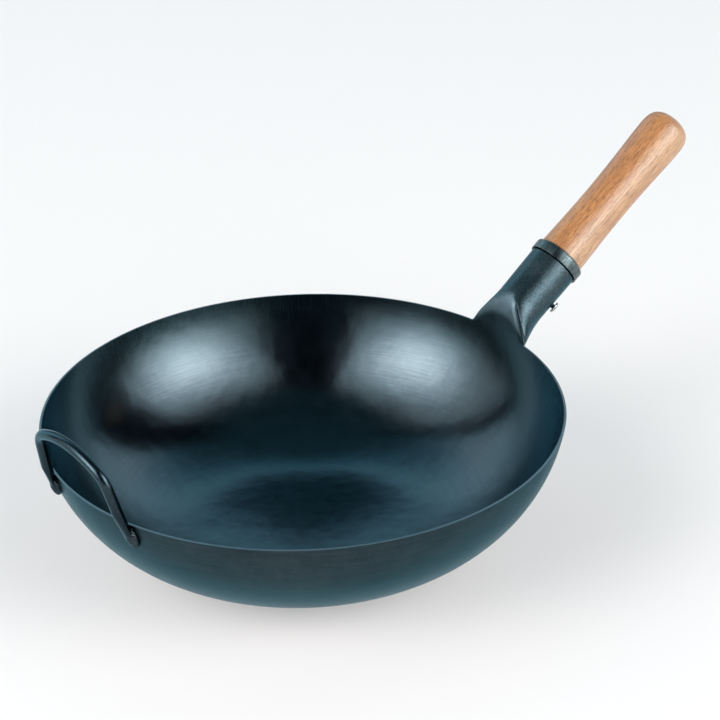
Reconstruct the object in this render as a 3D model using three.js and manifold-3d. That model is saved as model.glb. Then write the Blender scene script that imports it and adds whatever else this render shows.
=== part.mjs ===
// Flat-bottomed carbon steel wok with a stick handle and a welded helper loop.
// The bowl and the handle's socket are one sheet: a tab on the rim rises, is creased at both
// sides and rolls into a tube that takes a turned beech grip.
// Millimetres, +Z up, origin at the centre of the base's underside, stick handle towards +X.
import * as THREE from 'three';
import { mergeVertices } from 'three/addons/utils/BufferGeometryUtils.js';
import Module from 'manifold-3d';

const wasm = await Module();
wasm.setup();

const radians = THREE.MathUtils.degToRad;

// Bowl
const RIM_RADIUS = 170; // outer face at the rim
const SHEET = 1.5; // thickness of the steel
const WALL_ARC_RADIUS = 106; // outer face, from the flat base up to the rim
const RIM_LEAN = radians(9.8); // wall away from vertical at the rim

// Handle axis, which crosses the rim circle above the rim's edge
const HANDLE_RISE = radians(33.8);
const AXIS_ABOVE_RIM = 4;

// Neck: the tab between the bowl's wall and the round socket
const NECK_HALF_WIDTH = 27.4; // at the rim
const NECK_LENGTH = 22; // along the handle axis
const SCOOP_RISE = 15; // how far the tab keeps the wall's direction in its middle
const NECK_RUN_IN = 9; // how far the tab already follows the handle axis
const CREASE_TURN = radians(26); // crease's place on the socket, from its top line
const CREASE_STRAIGHT = 0.75; // 0 follows the wall first, 1 runs straight to the socket
const CREASE_DEPTH = 1.1; // pinched groove along each crease
const CREASE_LIP = 0.6; // lip at each side of the groove
const CORNER_INSET = 4.2; // the sheet's under face turns this far inside the rim's corner

// Socket: the rolled tube, with its seam underneath
const SOCKET_NECK_DIAMETER = 33.9;
const SOCKET_MOUTH_DIAMETER = 35;
const SOCKET_LENGTH = 40;
const SEAM_GAP = 0.8;

// Collar over the socket's mouth
const COLLAR_WALL = 0.9;
const COLLAR_OVERLAP = 5.5; // on the socket
const COLLAR_LIP = 1.5; // inturned front lip
const COLLAR_EDGE_ROUND = 1.6;

// Beech grip
const GRIP_COLLAR_DIAMETER = 32.8;
const GRIP_WAIST_DIAMETER = 30.6;
const GRIP_BULB_DIAMETER = 33.6;
const GRIP_LENGTH = 127.8; // beyond the socket's mouth
const GRIP_WAIST_AT = 52; // from the socket's mouth
const GRIP_END_ROUND = 15; // length of the rounded end
const GRIP_END_FULLNESS = 0.75; // 0 is a cone, 1 nearly square
const TENON_LENGTH = 35; // inside the socket
const TENON_CHAMFER = 1.5;

// Screw through the socket into the grip's tenon, beside the seam
const SCREW_AT = 12; // from the neck along the socket
const SCREW_TURN = radians(-135);
const SCREW_SHANK_DIAMETER = 4;
const SCREW_HEAD_DIAMETER = 8;
const SCREW_HEAD_HEIGHT = 2.2;
const SCREW_HEAD_EDGE = 0.6; // straight side under the head's dome
const SCREW_STAND_OFF = 1.4; // head clear of the socket
const SCREW_LENGTH = 13; // under the socket's surface
const SCREW_POINT = 3;

// Helper loop of bent rod
const ROD_DIAMETER = 7;
const LOOP_LEAN = radians(13.5); // loop's plane away from vertical
const LOOP_FOOT_HALF_WIDTH = 42.6; // from the middle to each leg's axis at its foot
const LOOP_TOP_HALF_WIDTH = 34.8; // at the bends
const LOOP_RISE = 35.5; // bends above the rim, along the loop's plane
const LOOP_ARCH = 9; // top bar's crown above the bends
const LOOP_BEND = 8; // length of each leg taken up by its bend
const FOOT_BELOW_RIM = 12;
const FOOT_TAPER = 22; // length of the slanted cut that thins each foot towards the wall

// Weld bead over each foot of the loop, running out down the wall
const WELD_BELOW_RIM = 8;
const WELD_TAIL = 9; // down from the bead's middle
const WELD_HEAD = 7; // up from the bead's middle
const WELD_MARGIN = 1.5; // beyond the rod at each side
const WELD_HEIGHT = 4.2; // off the wall

const CLEARANCE = 0.3; // between neighbouring pieces

// Mesh fineness
const WALL_ROWS = 12;
const RIM_COLUMNS = 84;
const SCOOP_COLUMNS = 10;
const WING_COLUMNS = 11;
const NECK_ROWS = 10;
const SOCKET_ROWS = 3;
const WING_CROWDING = 1.4; // above 1 draws the wing's columns towards the crease
const TURNED_SIDES = 32;
const CURVE_POINTS = 8; // along one curve of a turned profile
const EDGE_POINTS = 4; // along a small rounding
const ROD_STEPS = 56;
const ROD_SIDES = 24;

const BLUED_STEEL = new THREE.MeshStandardMaterial({ color: 0x1d2d36, roughness: 0.38, metalness: 0.9 });
const COLLAR_STEEL = new THREE.MeshStandardMaterial({ color: 0x34393b, roughness: 0.42, metalness: 0.9 });
const ROD_STEEL = new THREE.MeshStandardMaterial({ color: 0x222b31, roughness: 0.35, metalness: 0.9 });
const WELD_STEEL = new THREE.MeshStandardMaterial({ color: 0x2b3033, roughness: 0.5, metalness: 0.85 });
const SCREW_STEEL = new THREE.MeshStandardMaterial({ color: 0xb9bcbd, roughness: 0.3, metalness: 1 });
const BEECH = new THREE.MeshStandardMaterial({ color: 0xcb9163, roughness: 0.55, metalness: 0 });

// Bowl sizes that follow from the driving ones
const RIM_SLOPE = Math.PI / 2 - RIM_LEAN;
const BASE_RADIUS = RIM_RADIUS - WALL_ARC_RADIUS * Math.sin(RIM_SLOPE);
const RIM_HEIGHT = WALL_ARC_RADIUS * (1 - Math.cos(RIM_SLOPE));
const NECK_HALF_ANGLE = Math.asin(NECK_HALF_WIDTH / RIM_RADIUS);
const MOUTH_AT = NECK_LENGTH + SOCKET_LENGTH;
const SEAM_TURN = Math.PI - SEAM_GAP / SOCKET_NECK_DIAMETER;

// Handle frame: local +X runs along the handle, local +Z is the socket's top
const handle = new THREE.Group();
handle.position.set(RIM_RADIUS, 0, RIM_HEIGHT + AXIS_ABOVE_RIM);
handle.rotation.y = -HANDLE_RISE;
handle.updateMatrix();
const HANDLE_AXIS = new THREE.Vector3(1, 0, 0).transformDirection(handle.matrix);

function solidOf(geometry, place = new THREE.Matrix4()) {
  const bare = geometry.clone().applyMatrix4(place);
  bare.deleteAttribute('normal');
  bare.deleteAttribute('uv');
  const merged = mergeVertices(bare);
  const triangles = [];
  const corners = merged.index.array;
  for (let i = 0; i < corners.length; i += 3) {
    const [a, b, c] = corners.slice(i, i + 3);
    if (a !== b && b !== c && c !== a) triangles.push(a, b, c);
  }
  return new wasm.Manifold(new wasm.Mesh({
    numProp: 3,
    vertProperties: new Float32Array(merged.attributes.position.array),
    triVerts: new Uint32Array(triangles),
  }));
}

function geometryOf(solid) {
  const { vertProperties, triVerts } = solid.getMesh();
  const geometry = new THREE.BufferGeometry();
  geometry.setAttribute('position', new THREE.BufferAttribute(vertProperties, 3));
  geometry.setIndex(new THREE.BufferAttribute(triVerts, 1));
  geometry.computeVertexNormals();
  return geometry;
}

function named(name, geometry, material) {
  const mesh = new THREE.Mesh(geometry, material);
  mesh.name = name;
  return mesh;
}

// A profile in (radius, station) turned about the handle axis
function turned(profile) {
  return new THREE.LatheGeometry(profile, TURNED_SIDES).rotateZ(-Math.PI / 2);
}

// Sheet of the bowl, neck and socket. Its upper face is the bowl's inside and carries on as the
// socket's outside; its under face is the bowl's outside and the socket's bore.

function wallPoint(slope, grow) {
  const reach = WALL_ARC_RADIUS + grow;
  return new THREE.Vector2(
    BASE_RADIUS + reach * Math.sin(slope),
    WALL_ARC_RADIUS - reach * Math.cos(slope),
  );
}

function around(angle, point) {
  return new THREE.Vector3(point.x * Math.cos(angle), point.x * Math.sin(angle), point.y);
}

function socketRadius(station) {
  const along = (station - NECK_LENGTH) / SOCKET_LENGTH;
  return THREE.MathUtils.lerp(SOCKET_NECK_DIAMETER, SOCKET_MOUTH_DIAMETER, along) / 2;
}

function socketPoint(turn, station, grow) {
  const radius = socketRadius(station) + grow;
  const local = new THREE.Vector3(station, radius * Math.sin(turn), radius * Math.cos(turn));
  return local.applyMatrix4(handle.matrix);
}

// Columns of the tab, from seam to seam: across is the place on the rim from corner to corner,
// turn is the place round the socket, pinch is the height of the crease's lip or groove, and
// straight is how far a column leaves the wall's direction for a straight run to the socket.
function tabColumns() {
  const scoop = [];
  for (let i = 0; i <= SCOOP_COLUMNS; i++) {
    const across = (2 * i) / SCOOP_COLUMNS - 1;
    const fromCrease = Math.min(i, SCOOP_COLUMNS - i);
    const pinch = [-CREASE_DEPTH, CREASE_LIP][fromCrease] ?? 0;
    const straight = CREASE_STRAIGHT * across ** 4;
    scoop.push({ across, turn: across * CREASE_TURN, pinch, straight });
  }
  const wing = [];
  for (let i = 1; i <= WING_COLUMNS; i++) {
    const share = (i / WING_COLUMNS) ** WING_CROWDING;
    const turn = THREE.MathUtils.lerp(CREASE_TURN, SEAM_TURN, share);
    const pinch = i === 1 ? CREASE_LIP : 0;
    const straight = THREE.MathUtils.lerp(CREASE_STRAIGHT, 1, Math.sqrt(share));
    wing.push({ across: 1, turn, pinch, straight });
  }
  const mirrored = wing.map((column) => ({ ...column, across: -1, turn: -column.turn }));
  return [...mirrored.reverse(), ...scoop, ...wing];
}

// One face of the sheet: points, triangles that look up from the bowl's inside, and the cut edge
function sheetFace(grow) {
  const points = [];
  const triangles = [];
  const put = (point) => points.push(point) - 1;
  const triangle = (a, b, c) => {
    if (a !== b && b !== c && c !== a) triangles.push(a, b, c);
  };
  const quad = (a, b, c, d) => {
    triangle(a, b, c);
    triangle(a, c, d);
  };
  const upper = grow < 0;
  const columns = tabColumns();
  const cornerShare = upper ? 1 : 1 - CORNER_INSET / NECK_HALF_WIDTH;

  const angles = [];
  for (let i = 0; i <= SCOOP_COLUMNS; i++) {
    angles.push(((2 * i) / SCOOP_COLUMNS - 1) * NECK_HALF_ANGLE);
  }
  for (let i = 1; i < RIM_COLUMNS; i++) {
    const open = 2 * (Math.PI - NECK_HALF_ANGLE);
    angles.push(NECK_HALF_ANGLE + (open * i) / RIM_COLUMNS);
  }
  const rimAngle = (i) => (i <= SCOOP_COLUMNS ? angles[i] * cornerShare : angles[i]);

  const middle = put(new THREE.Vector3(0, 0, -grow));
  const baseRing = angles.map((angle) => put(around(angle, new THREE.Vector2(BASE_RADIUS / 2, -grow))));
  const rings = [baseRing];
  for (let row = 0; row <= WALL_ROWS; row++) {
    const section = wallPoint((RIM_SLOPE * row) / WALL_ROWS, grow);
    const atRim = row === WALL_ROWS;
    rings.push(angles.map((angle, i) => put(around(atRim ? rimAngle(i) : angle, section))));
  }
  const next = (i) => (i + 1) % angles.length;
  angles.forEach((_, i) => triangle(middle, baseRing[i], baseRing[next(i)]));
  for (let row = 1; row < rings.length; row++) {
    const [low, high] = [rings[row - 1], rings[row]];
    angles.forEach((_, i) => quad(low[i], high[i], high[next(i)], low[next(i)]));
  }
  const rim = rings.at(-1);

  const lift = (column, share) => {
    const angle = column.across * cornerShare * NECK_HALF_ANGLE;
    const start = around(angle, wallPoint(RIM_SLOPE, grow));
    const end = socketPoint(column.turn, NECK_LENGTH, upper ? 0 : -SHEET);
    const wallWay = around(angle, new THREE.Vector2(Math.sin(RIM_LEAN), Math.cos(RIM_LEAN)));
    const straight = end.clone().sub(start).divideScalar(3);
    const leave = wallWay.multiplyScalar(SCOOP_RISE).lerp(straight, column.straight).add(start);
    const arrive = end.clone().addScaledVector(HANDLE_AXIS, -NECK_RUN_IN);
    const point = new THREE.CubicBezierCurve3(start, leave, arrive, end).getPoint(share);
    const outwards = point.clone().sub(handle.position);
    outwards.addScaledVector(HANDLE_AXIS, -outwards.dot(HANDLE_AXIS)).normalize();
    return point.addScaledVector(outwards, column.pinch * Math.sin(Math.PI * Math.sqrt(share)));
  };

  const firstScoop = WING_COLUMNS;
  const rows = [columns.map((_, c) => rim[THREE.MathUtils.clamp(c - firstScoop, 0, SCOOP_COLUMNS)])];
  for (let row = 1; row <= NECK_ROWS; row++) {
    rows.push(columns.map((column) => put(lift(column, row / NECK_ROWS))));
  }
  for (let row = 1; row <= SOCKET_ROWS; row++) {
    const station = NECK_LENGTH + (SOCKET_LENGTH * row) / SOCKET_ROWS;
    rows.push(columns.map((column) => put(socketPoint(column.turn, station, upper ? 0 : -SHEET))));
  }
  for (let row = 1; row < rows.length; row++) {
    const [low, high] = [rows[row - 1], rows[row]];
    for (let c = 1; c < columns.length; c++) quad(low[c - 1], high[c - 1], high[c], low[c]);
  }

  const edge = [...rim.slice(SCOOP_COLUMNS), rim[0]];
  const tab = rows.slice(1);
  tab.forEach((row) => edge.push(row[0]));
  edge.push(...tab.at(-1).slice(1, -1));
  tab.toReversed().forEach((row) => edge.push(row.at(-1)));
  return { points, triangles, edge };
}

function sheetGeometry() {
  const upper = sheetFace(-SHEET);
  const under = sheetFace(0);
  const points = [...upper.points, ...under.points];
  const shift = upper.points.length;
  const triangles = [...upper.triangles];
  for (let i = 0; i < under.triangles.length; i += 3) {
    const [a, b, c] = under.triangles.slice(i, i + 3);
    triangles.push(a + shift, c + shift, b + shift);
  }
  const apart = (a, b) => points[a].distanceTo(points[b]);
  upper.edge.forEach((p, i) => {
    const j = (i + 1) % upper.edge.length;
    const q = upper.edge[j];
    const [pUnder, qUnder] = [under.edge[i] + shift, under.edge[j] + shift];
    if (apart(q, pUnder) < apart(p, qUnder)) triangles.push(q, p, pUnder, q, pUnder, qUnder);
    else triangles.push(q, p, qUnder, p, pUnder, qUnder);
  });
  return new THREE.BufferGeometry().setFromPoints(points).setIndex(triangles);
}

// Screw, turned about its own axis: height 0 is the socket's surface, + is outwards
const screwStation = NECK_LENGTH + SCREW_AT;
const screwSeat = new THREE.Object3D();
screwSeat.position.set(
  screwStation,
  socketRadius(screwStation) * Math.sin(SCREW_TURN),
  socketRadius(screwStation) * Math.cos(SCREW_TURN),
);
screwSeat.rotation.x = Math.PI / 2 - SCREW_TURN;
screwSeat.updateMatrix();

function screwGeometry() {
  const shank = SCREW_SHANK_DIAMETER / 2;
  const head = SCREW_HEAD_DIAMETER / 2;
  const top = SCREW_STAND_OFF + SCREW_HEAD_HEIGHT;
  const edge = SCREW_STAND_OFF + SCREW_HEAD_EDGE;
  const profile = new THREE.Path();
  profile.moveTo(0, -SCREW_LENGTH);
  profile.lineTo(shank, SCREW_POINT - SCREW_LENGTH);
  profile.lineTo(shank, SCREW_STAND_OFF);
  profile.lineTo(head, SCREW_STAND_OFF);
  profile.absellipse(0, edge, head, top - edge, 0, Math.PI / 2);
  return new THREE.LatheGeometry(profile.getPoints(EDGE_POINTS), TURNED_SIDES / 2);
}

function screwHole(place) {
  const depth = SCREW_LENGTH + CLEARANCE;
  const reach = SCREW_STAND_OFF;
  const bore = SCREW_SHANK_DIAMETER / 2 + CLEARANCE;
  const hole = new THREE.CylinderGeometry(bore, bore, depth + reach, TURNED_SIDES / 2);
  hole.translate(0, (reach - depth) / 2, 0);
  return solidOf(hole, place);
}

function wokBody() {
  const hole = screwHole(handle.matrix.clone().multiply(screwSeat.matrix));
  return named('wok_body', geometryOf(solidOf(sheetGeometry()).subtract(hole)), BLUED_STEEL);
}

// Grip: tapered tenon in the socket, shoulder on the socket's mouth, waist, bulb and round end
function grip() {
  const bore = (station) => socketRadius(station) - SHEET - CLEARANCE;
  const tenonEnd = MOUTH_AT - TENON_LENGTH;
  const shoulder = MOUTH_AT + CLEARANCE;
  const end = MOUTH_AT + GRIP_LENGTH;
  const bulbAt = end - GRIP_END_ROUND;
  const waistAt = MOUTH_AT + GRIP_WAIST_AT;
  const [root, waist, bulb] = [GRIP_COLLAR_DIAMETER / 2, GRIP_WAIST_DIAMETER / 2, GRIP_BULB_DIAMETER / 2];
  const ease = (from, to) => (to - from) / 2;

  const profile = new THREE.Path();
  profile.moveTo(0, tenonEnd);
  profile.lineTo(bore(tenonEnd) - TENON_CHAMFER, tenonEnd);
  profile.lineTo(bore(tenonEnd), tenonEnd + TENON_CHAMFER);
  profile.lineTo(bore(MOUTH_AT), shoulder);
  profile.lineTo(root, shoulder);
  const toWaist = ease(shoulder, waistAt);
  profile.bezierCurveTo(root, shoulder + toWaist / 2, waist, waistAt - toWaist, waist, waistAt);
  const toBulb = ease(waistAt, bulbAt);
  profile.bezierCurveTo(waist, waistAt + toBulb, bulb, bulbAt - toBulb / 2, bulb, bulbAt);
  const full = GRIP_END_FULLNESS;
  profile.bezierCurveTo(bulb, bulbAt + full * GRIP_END_ROUND, full * bulb, end, 0, end);
  const body = solidOf(turned(profile.getPoints(CURVE_POINTS)));
  return named('handle_grip', geometryOf(body.subtract(screwHole(screwSeat.matrix))), BEECH);
}

// Collar: a short skirt over the socket's mouth with its front edge turned in to the grip
function collar() {
  const bore = SOCKET_MOUTH_DIAMETER / 2 + CLEARANCE;
  const outer = bore + COLLAR_WALL;
  const lip = GRIP_COLLAR_DIAMETER / 2 + CLEARANCE;
  const back = MOUTH_AT - COLLAR_OVERLAP;
  const inside = MOUTH_AT + CLEARANCE;
  const front = inside + COLLAR_LIP;
  const profile = new THREE.Path();
  profile.moveTo(bore, back);
  profile.lineTo(outer, back);
  profile.lineTo(outer, front - COLLAR_EDGE_ROUND);
  profile.quadraticCurveTo(outer, front, outer - COLLAR_EDGE_ROUND, front);
  profile.lineTo(lip, front);
  profile.lineTo(lip, inside);
  profile.lineTo(bore, inside);
  profile.lineTo(bore, back);
  return named('handle_collar', turned(profile.getPoints(EDGE_POINTS)), COLLAR_STEEL);
}

function screw() {
  const mesh = named('handle_screw', screwGeometry(), SCREW_STEEL);
  mesh.position.copy(screwSeat.position);
  mesh.rotation.copy(screwSeat.rotation);
  return mesh;
}

// Helper loop: its plane leans as the wall does where the legs lie against it
const LEG_CONTACT = wallPoint(Math.PI / 2 - LOOP_LEAN, ROD_DIAMETER / 2 + CLEARANCE);
const LOOP_AT_CONTACT = -Math.sqrt(LEG_CONTACT.x ** 2 - LOOP_FOOT_HALF_WIDTH ** 2);

// A point of the loop's plane: across is along Y, rise runs up the lean from the rim
function loopPoint(across, rise) {
  const height = RIM_HEIGHT + rise * Math.cos(LOOP_LEAN);
  const out = (height - LEG_CONTACT.y) * Math.tan(LOOP_LEAN);
  return new THREE.Vector3(LOOP_AT_CONTACT - out, across, height);
}

// A point on a leg's axis
function legPoint(side, rise) {
  const share = (rise + FOOT_BELOW_RIM) / (LOOP_RISE + FOOT_BELOW_RIM);
  return loopPoint(side * THREE.MathUtils.lerp(LOOP_FOOT_HALF_WIDTH, LOOP_TOP_HALF_WIDTH, share), rise);
}

// Frame on the wall beside a leg: local Y runs up the leg, local Z away from the wall
function wallSeat(side, rise) {
  const point = legPoint(side, rise);
  const along = legPoint(side, LOOP_RISE).sub(point).normalize();
  const slope = Math.acos(1 - point.z / WALL_ARC_RADIUS);
  const angle = Math.atan2(point.y, point.x);
  const normal = around(angle, new THREE.Vector2(Math.sin(slope), -Math.cos(slope)));
  const across = along.clone().cross(normal).normalize();
  const seat = new THREE.Matrix4().makeBasis(across, along, across.clone().cross(along));
  return seat.setPosition(around(angle, wallPoint(slope, 0)));
}

// Leg, bend, arched bar, bend, leg
function rodPath() {
  const bendFrom = LOOP_RISE - LOOP_BEND;
  const barHalf = LOOP_TOP_HALF_WIDTH - LOOP_BEND;
  const bendClimb = LOOP_ARCH * (1 - (barHalf / LOOP_TOP_HALF_WIDTH) ** 2);
  const barEnd = LOOP_RISE + bendClimb;
  const crown = loopPoint(0, barEnd + (barHalf * bendClimb) / LOOP_BEND);
  const bar = (side) => loopPoint(side * barHalf, barEnd);
  const path = new THREE.CurvePath();
  path.add(new THREE.LineCurve3(legPoint(1, -FOOT_BELOW_RIM), legPoint(1, bendFrom)));
  path.add(new THREE.QuadraticBezierCurve3(legPoint(1, bendFrom), legPoint(1, LOOP_RISE), bar(1)));
  path.add(new THREE.QuadraticBezierCurve3(bar(1), crown, bar(-1)));
  path.add(new THREE.QuadraticBezierCurve3(bar(-1), legPoint(-1, LOOP_RISE), legPoint(-1, bendFrom)));
  path.add(new THREE.LineCurve3(legPoint(-1, bendFrom), legPoint(-1, -FOOT_BELOW_RIM)));
  return path;
}

// What the slanted cut takes off a foot, from the outer side above the rim to the wall side below
function footCut(side, grow) {
  const slant = Math.atan(ROD_DIAMETER / FOOT_TAPER);
  const middle = FOOT_TAPER / 2 - FOOT_BELOW_RIM;
  const block = new THREE.BoxGeometry(2 * FOOT_TAPER, 2 * FOOT_TAPER, FOOT_TAPER);
  block.translate(0, 0, FOOT_TAPER / 2 + grow);
  block.rotateX(slant);
  block.translate(0, 0, ROD_DIAMETER / 2 + CLEARANCE);
  return solidOf(block, wallSeat(side, middle));
}

function rod(grow) {
  const section = new THREE.Shape();
  section.absarc(0, 0, ROD_DIAMETER / 2 + grow, 0, 2 * Math.PI);
  const sweep = { extrudePath: rodPath(), steps: ROD_STEPS, curveSegments: ROD_SIDES / 2 };
  const swept = new THREE.ExtrudeGeometry(section, sweep);
  return solidOf(swept).subtract(footCut(1, grow)).subtract(footCut(-1, grow));
}

// The bowl's outside, grown by the clearance
function grownBowl() {
  const profile = [new THREE.Vector2(0, -CLEARANCE)];
  for (let row = 0; row <= WALL_ROWS; row++) {
    profile.push(wallPoint((RIM_SLOPE * row) / WALL_ROWS, CLEARANCE));
  }
  profile.push(new THREE.Vector2(0, profile.at(-1).y));
  return solidOf(new THREE.LatheGeometry(profile, RIM_COLUMNS).rotateX(Math.PI / 2));
}

// Weld bead: an egg-shaped mound on the wall over the rod's slanted foot
function weld(side) {
  const egg = new THREE.Path();
  egg.absellipse(0, 0, 1, WELD_TAIL, -Math.PI / 2, 0);
  egg.absellipse(0, 0, 1, WELD_HEAD, 0, Math.PI / 2);
  const mound = new THREE.LatheGeometry(egg.getPoints(EDGE_POINTS), ROD_SIDES);
  mound.scale(ROD_DIAMETER / 2 + WELD_MARGIN, 1, WELD_HEIGHT);
  const seated = solidOf(mound, wallSeat(side, -WELD_BELOW_RIM));
  const bead = seated.subtract(grownBowl()).subtract(rod(CLEARANCE));
  return named(side > 0 ? 'helper_weld_left' : 'helper_weld_right', geometryOf(bead), WELD_STEEL);
}

const wok = new THREE.Group();
wok.add(wokBody());
wok.add(named('helper_handle', geometryOf(rod(0)), ROD_STEEL));
wok.add(weld(1), weld(-1));
handle.add(grip(), collar(), screw());
wok.add(handle);

export default wok;
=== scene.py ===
import math

import bpy
import numpy as np
from mathutils import Matrix, Vector


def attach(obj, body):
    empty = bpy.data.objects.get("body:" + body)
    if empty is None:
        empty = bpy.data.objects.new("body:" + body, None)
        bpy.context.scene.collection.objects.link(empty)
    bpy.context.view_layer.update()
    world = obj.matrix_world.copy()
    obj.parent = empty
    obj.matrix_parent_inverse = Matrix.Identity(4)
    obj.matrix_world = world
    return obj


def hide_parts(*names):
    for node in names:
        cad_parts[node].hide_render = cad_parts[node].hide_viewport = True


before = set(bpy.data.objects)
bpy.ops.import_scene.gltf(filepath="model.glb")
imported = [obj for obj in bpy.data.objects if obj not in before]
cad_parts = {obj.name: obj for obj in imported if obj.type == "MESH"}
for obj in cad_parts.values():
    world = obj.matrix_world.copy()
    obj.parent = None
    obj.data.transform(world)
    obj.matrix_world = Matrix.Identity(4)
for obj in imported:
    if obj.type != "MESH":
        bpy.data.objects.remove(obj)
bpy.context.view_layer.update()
scene = bpy.context.scene
scene.view_settings.view_transform = "Standard"

# Camera: a long lens on the helper loop's side of the wok, a little above the rim, turned slightly
# about its own axis. The aim is a point over the bowl, between its middle and the handle.
CAMERA_AIM = Vector((0.0393, -0.0112, 0.1168))
CAMERA_AZIMUTH = math.radians(-127.87)
CAMERA_ELEVATION = math.radians(28.0)
CAMERA_ROLL = math.radians(-1.636)
CAMERA_DISTANCE = 1.8737
CAMERA_LENS = 145
CAMERA_SENSOR = 36


def heading(azimuth, elevation):
    flat = math.cos(elevation)
    return Vector((flat * math.cos(azimuth), flat * math.sin(azimuth), math.sin(elevation)))


towards_camera = heading(CAMERA_AZIMUTH, CAMERA_ELEVATION)
camera_data = bpy.data.cameras.new("camera")
camera_data.sensor_width = CAMERA_SENSOR
camera_data.lens = CAMERA_LENS
camera = bpy.data.objects.new("camera", camera_data)
turned = towards_camera.to_track_quat("Z", "Y").to_matrix().to_4x4() @ Matrix.Rotation(CAMERA_ROLL, 4, "Z")
camera.matrix_world = Matrix.Translation(CAMERA_AIM + CAMERA_DISTANCE * towards_camera) @ turned
scene.collection.objects.link(camera)
scene.camera = camera

# Studio: a pale floor, two softboxes beside the camera that are brightest and warmest in the middle, a
# dim cool surround, and dark flags at the camera and next to each softbox. Where the floor is seen it
# shows a share of plain white besides its own colour and the object's shadow.
FLOOR_RADIUS = 25.0
FLOOR_SIDES = 96
FLOOR_COLOR = (0.88, 0.82, 0.80, 1)
FLOOR_GLOW = 0.35  # share of plain white where the floor is seen
SURROUND_SIDE, SURROUND_BACK = 1.42, 0.20
SURROUND_COLOR = (0.70, 0.90, 1.0, 1)
BACK_FROM, BACK_TO = math.cos(math.radians(44)), math.cos(math.radians(12))
OVERHEAD = 0.15
OVERHEAD_COLOR = (0.30, 0.80, 1.0, 1)
OVERHEAD_FROM, OVERHEAD_TO = math.sin(math.radians(32)), math.sin(math.radians(64))
STUDIO_MIDDLE = Vector((0, 0, 0.088))
STAGE_STEPS = 24
SOFTBOX_DISTANCE = 5.0
SOFTBOX_ELEVATIONS = np.radians((-1, 59))
SOFTBOX_EDGE = 1.0
SOFTBOX_CORE = 8.6
CORE_COLOR = (1.0, 0.965, 0.94, 1)
CORE_TAIL = (0.86, 0.95, 1.0, 1)
CORE_SPREAD = math.radians(18.5)
EDGE_FADE = (0.9, 2.0)  # above the core, in spreads
# Degrees round from the camera: a softbox's first edge, its core and its last edge, then the core's height.
SOFTBOXES = {"right": np.radians((23, 60, 93, 25.5)), "left": np.radians((-108, -60, -27, 28.5))}
FLAG_DISTANCE = 4.8
FLAG_TOP = 9.0
FLAG_COLOR = (0.002, 0.008, 0.018, 1)
FLAGS = {"camera": np.radians((-27, 23)), "right": np.radians((94, 124)), "left": np.radians((-119, -109))}


def new_material(name):
    made = bpy.data.materials.new(name)
    made.use_nodes = True
    made.node_tree.nodes.clear()
    return made, made.node_tree


def add_node(tree, kind, inputs=(), **settings):
    """A node of a tree: settings are its properties, inputs its values or the sockets that feed it."""
    node = tree.nodes.new(kind)
    for key, value in settings.items():
        setattr(node, key, value)
    for key, value in dict(inputs).items():
        if isinstance(value, bpy.types.NodeSocket):
            tree.links.new(value, node.inputs[key])
        else:
            node.inputs[key].default_value = value
    return node


def math_node(tree, operation, a, b=0.0, c=0.0):
    return add_node(tree, "ShaderNodeMath", {0: a, 1: b, 2: c}, operation=operation).outputs[0]


def map_range(tree, value, low, high, to_low=0.0, to_high=1.0, interpolation_type="LINEAR"):
    return add_node(tree, "ShaderNodeMapRange", {
        "Value": value, "From Min": low, "From Max": high, "To Min": to_low, "To Max": to_high,
    }, interpolation_type=interpolation_type).outputs[0]


def bell(tree, vector):
    """A value that is 1 where a vector is zero and falls off round that place."""
    squared = add_node(tree, "ShaderNodeVectorMath", {0: vector, 1: vector}, operation="DOT_PRODUCT")
    return math_node(tree, "EXPONENT", math_node(tree, "MULTIPLY", squared.outputs["Value"], -1.0))


def mix_colors(tree, factor, a, b):
    """The colour between a and b: the colour sockets of a Mix node are its seventh and eighth inputs."""
    return add_node(tree, "ShaderNodeMix", {0: factor, 6: a, 7: b}, data_type="RGBA").outputs[2]


def end_material(tree, kind, inputs):
    """The last shader of a material, with the material's output."""
    shader = add_node(tree, kind, inputs)
    add_node(tree, "ShaderNodeOutputMaterial", {"Surface": shader.outputs[0]})


def grid_faces(rows, columns):
    """Quads of a grid of points that are counted row by row."""
    starts = [row * columns + column for row in range(rows - 1) for column in range(columns - 1)]
    return [(i, i + 1, i + columns + 1, i + columns) for i in starts]


def new_object(name, vertices, faces, material):
    mesh = bpy.data.meshes.new(name)
    mesh.from_pydata([tuple(v) for v in vertices], [], [tuple(int(i) for i in f) for f in faces])
    mesh.materials.append(material)
    mesh.shade_smooth()
    made = bpy.data.objects.new(name, mesh)
    scene.collection.objects.link(made)
    return made


floor_material, tree = new_material("pale_floor")
paint = add_node(tree, "ShaderNodeBsdfDiffuse", {"Color": FLOOR_COLOR})
glow = add_node(tree, "ShaderNodeEmission", {"Strength": 1.0})
rays = add_node(tree, "ShaderNodeLightPath").outputs
seen = math_node(tree, "MAXIMUM", rays["Is Camera Ray"], rays["Is Glossy Ray"])
seen = math_node(tree, "MAXIMUM", seen, rays["Is Transmission Ray"])
end_material(tree, "ShaderNodeMixShader", {
    0: math_node(tree, "MULTIPLY", seen, FLOOR_GLOW), 1: paint.outputs[0], 2: glow.outputs[0],
})
ring = [FLOOR_RADIUS * heading(turn, 0) for turn in np.linspace(0, math.tau, FLOOR_SIDES, endpoint=False)]
new_object("floor", ring, [range(len(ring))], floor_material)

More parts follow.
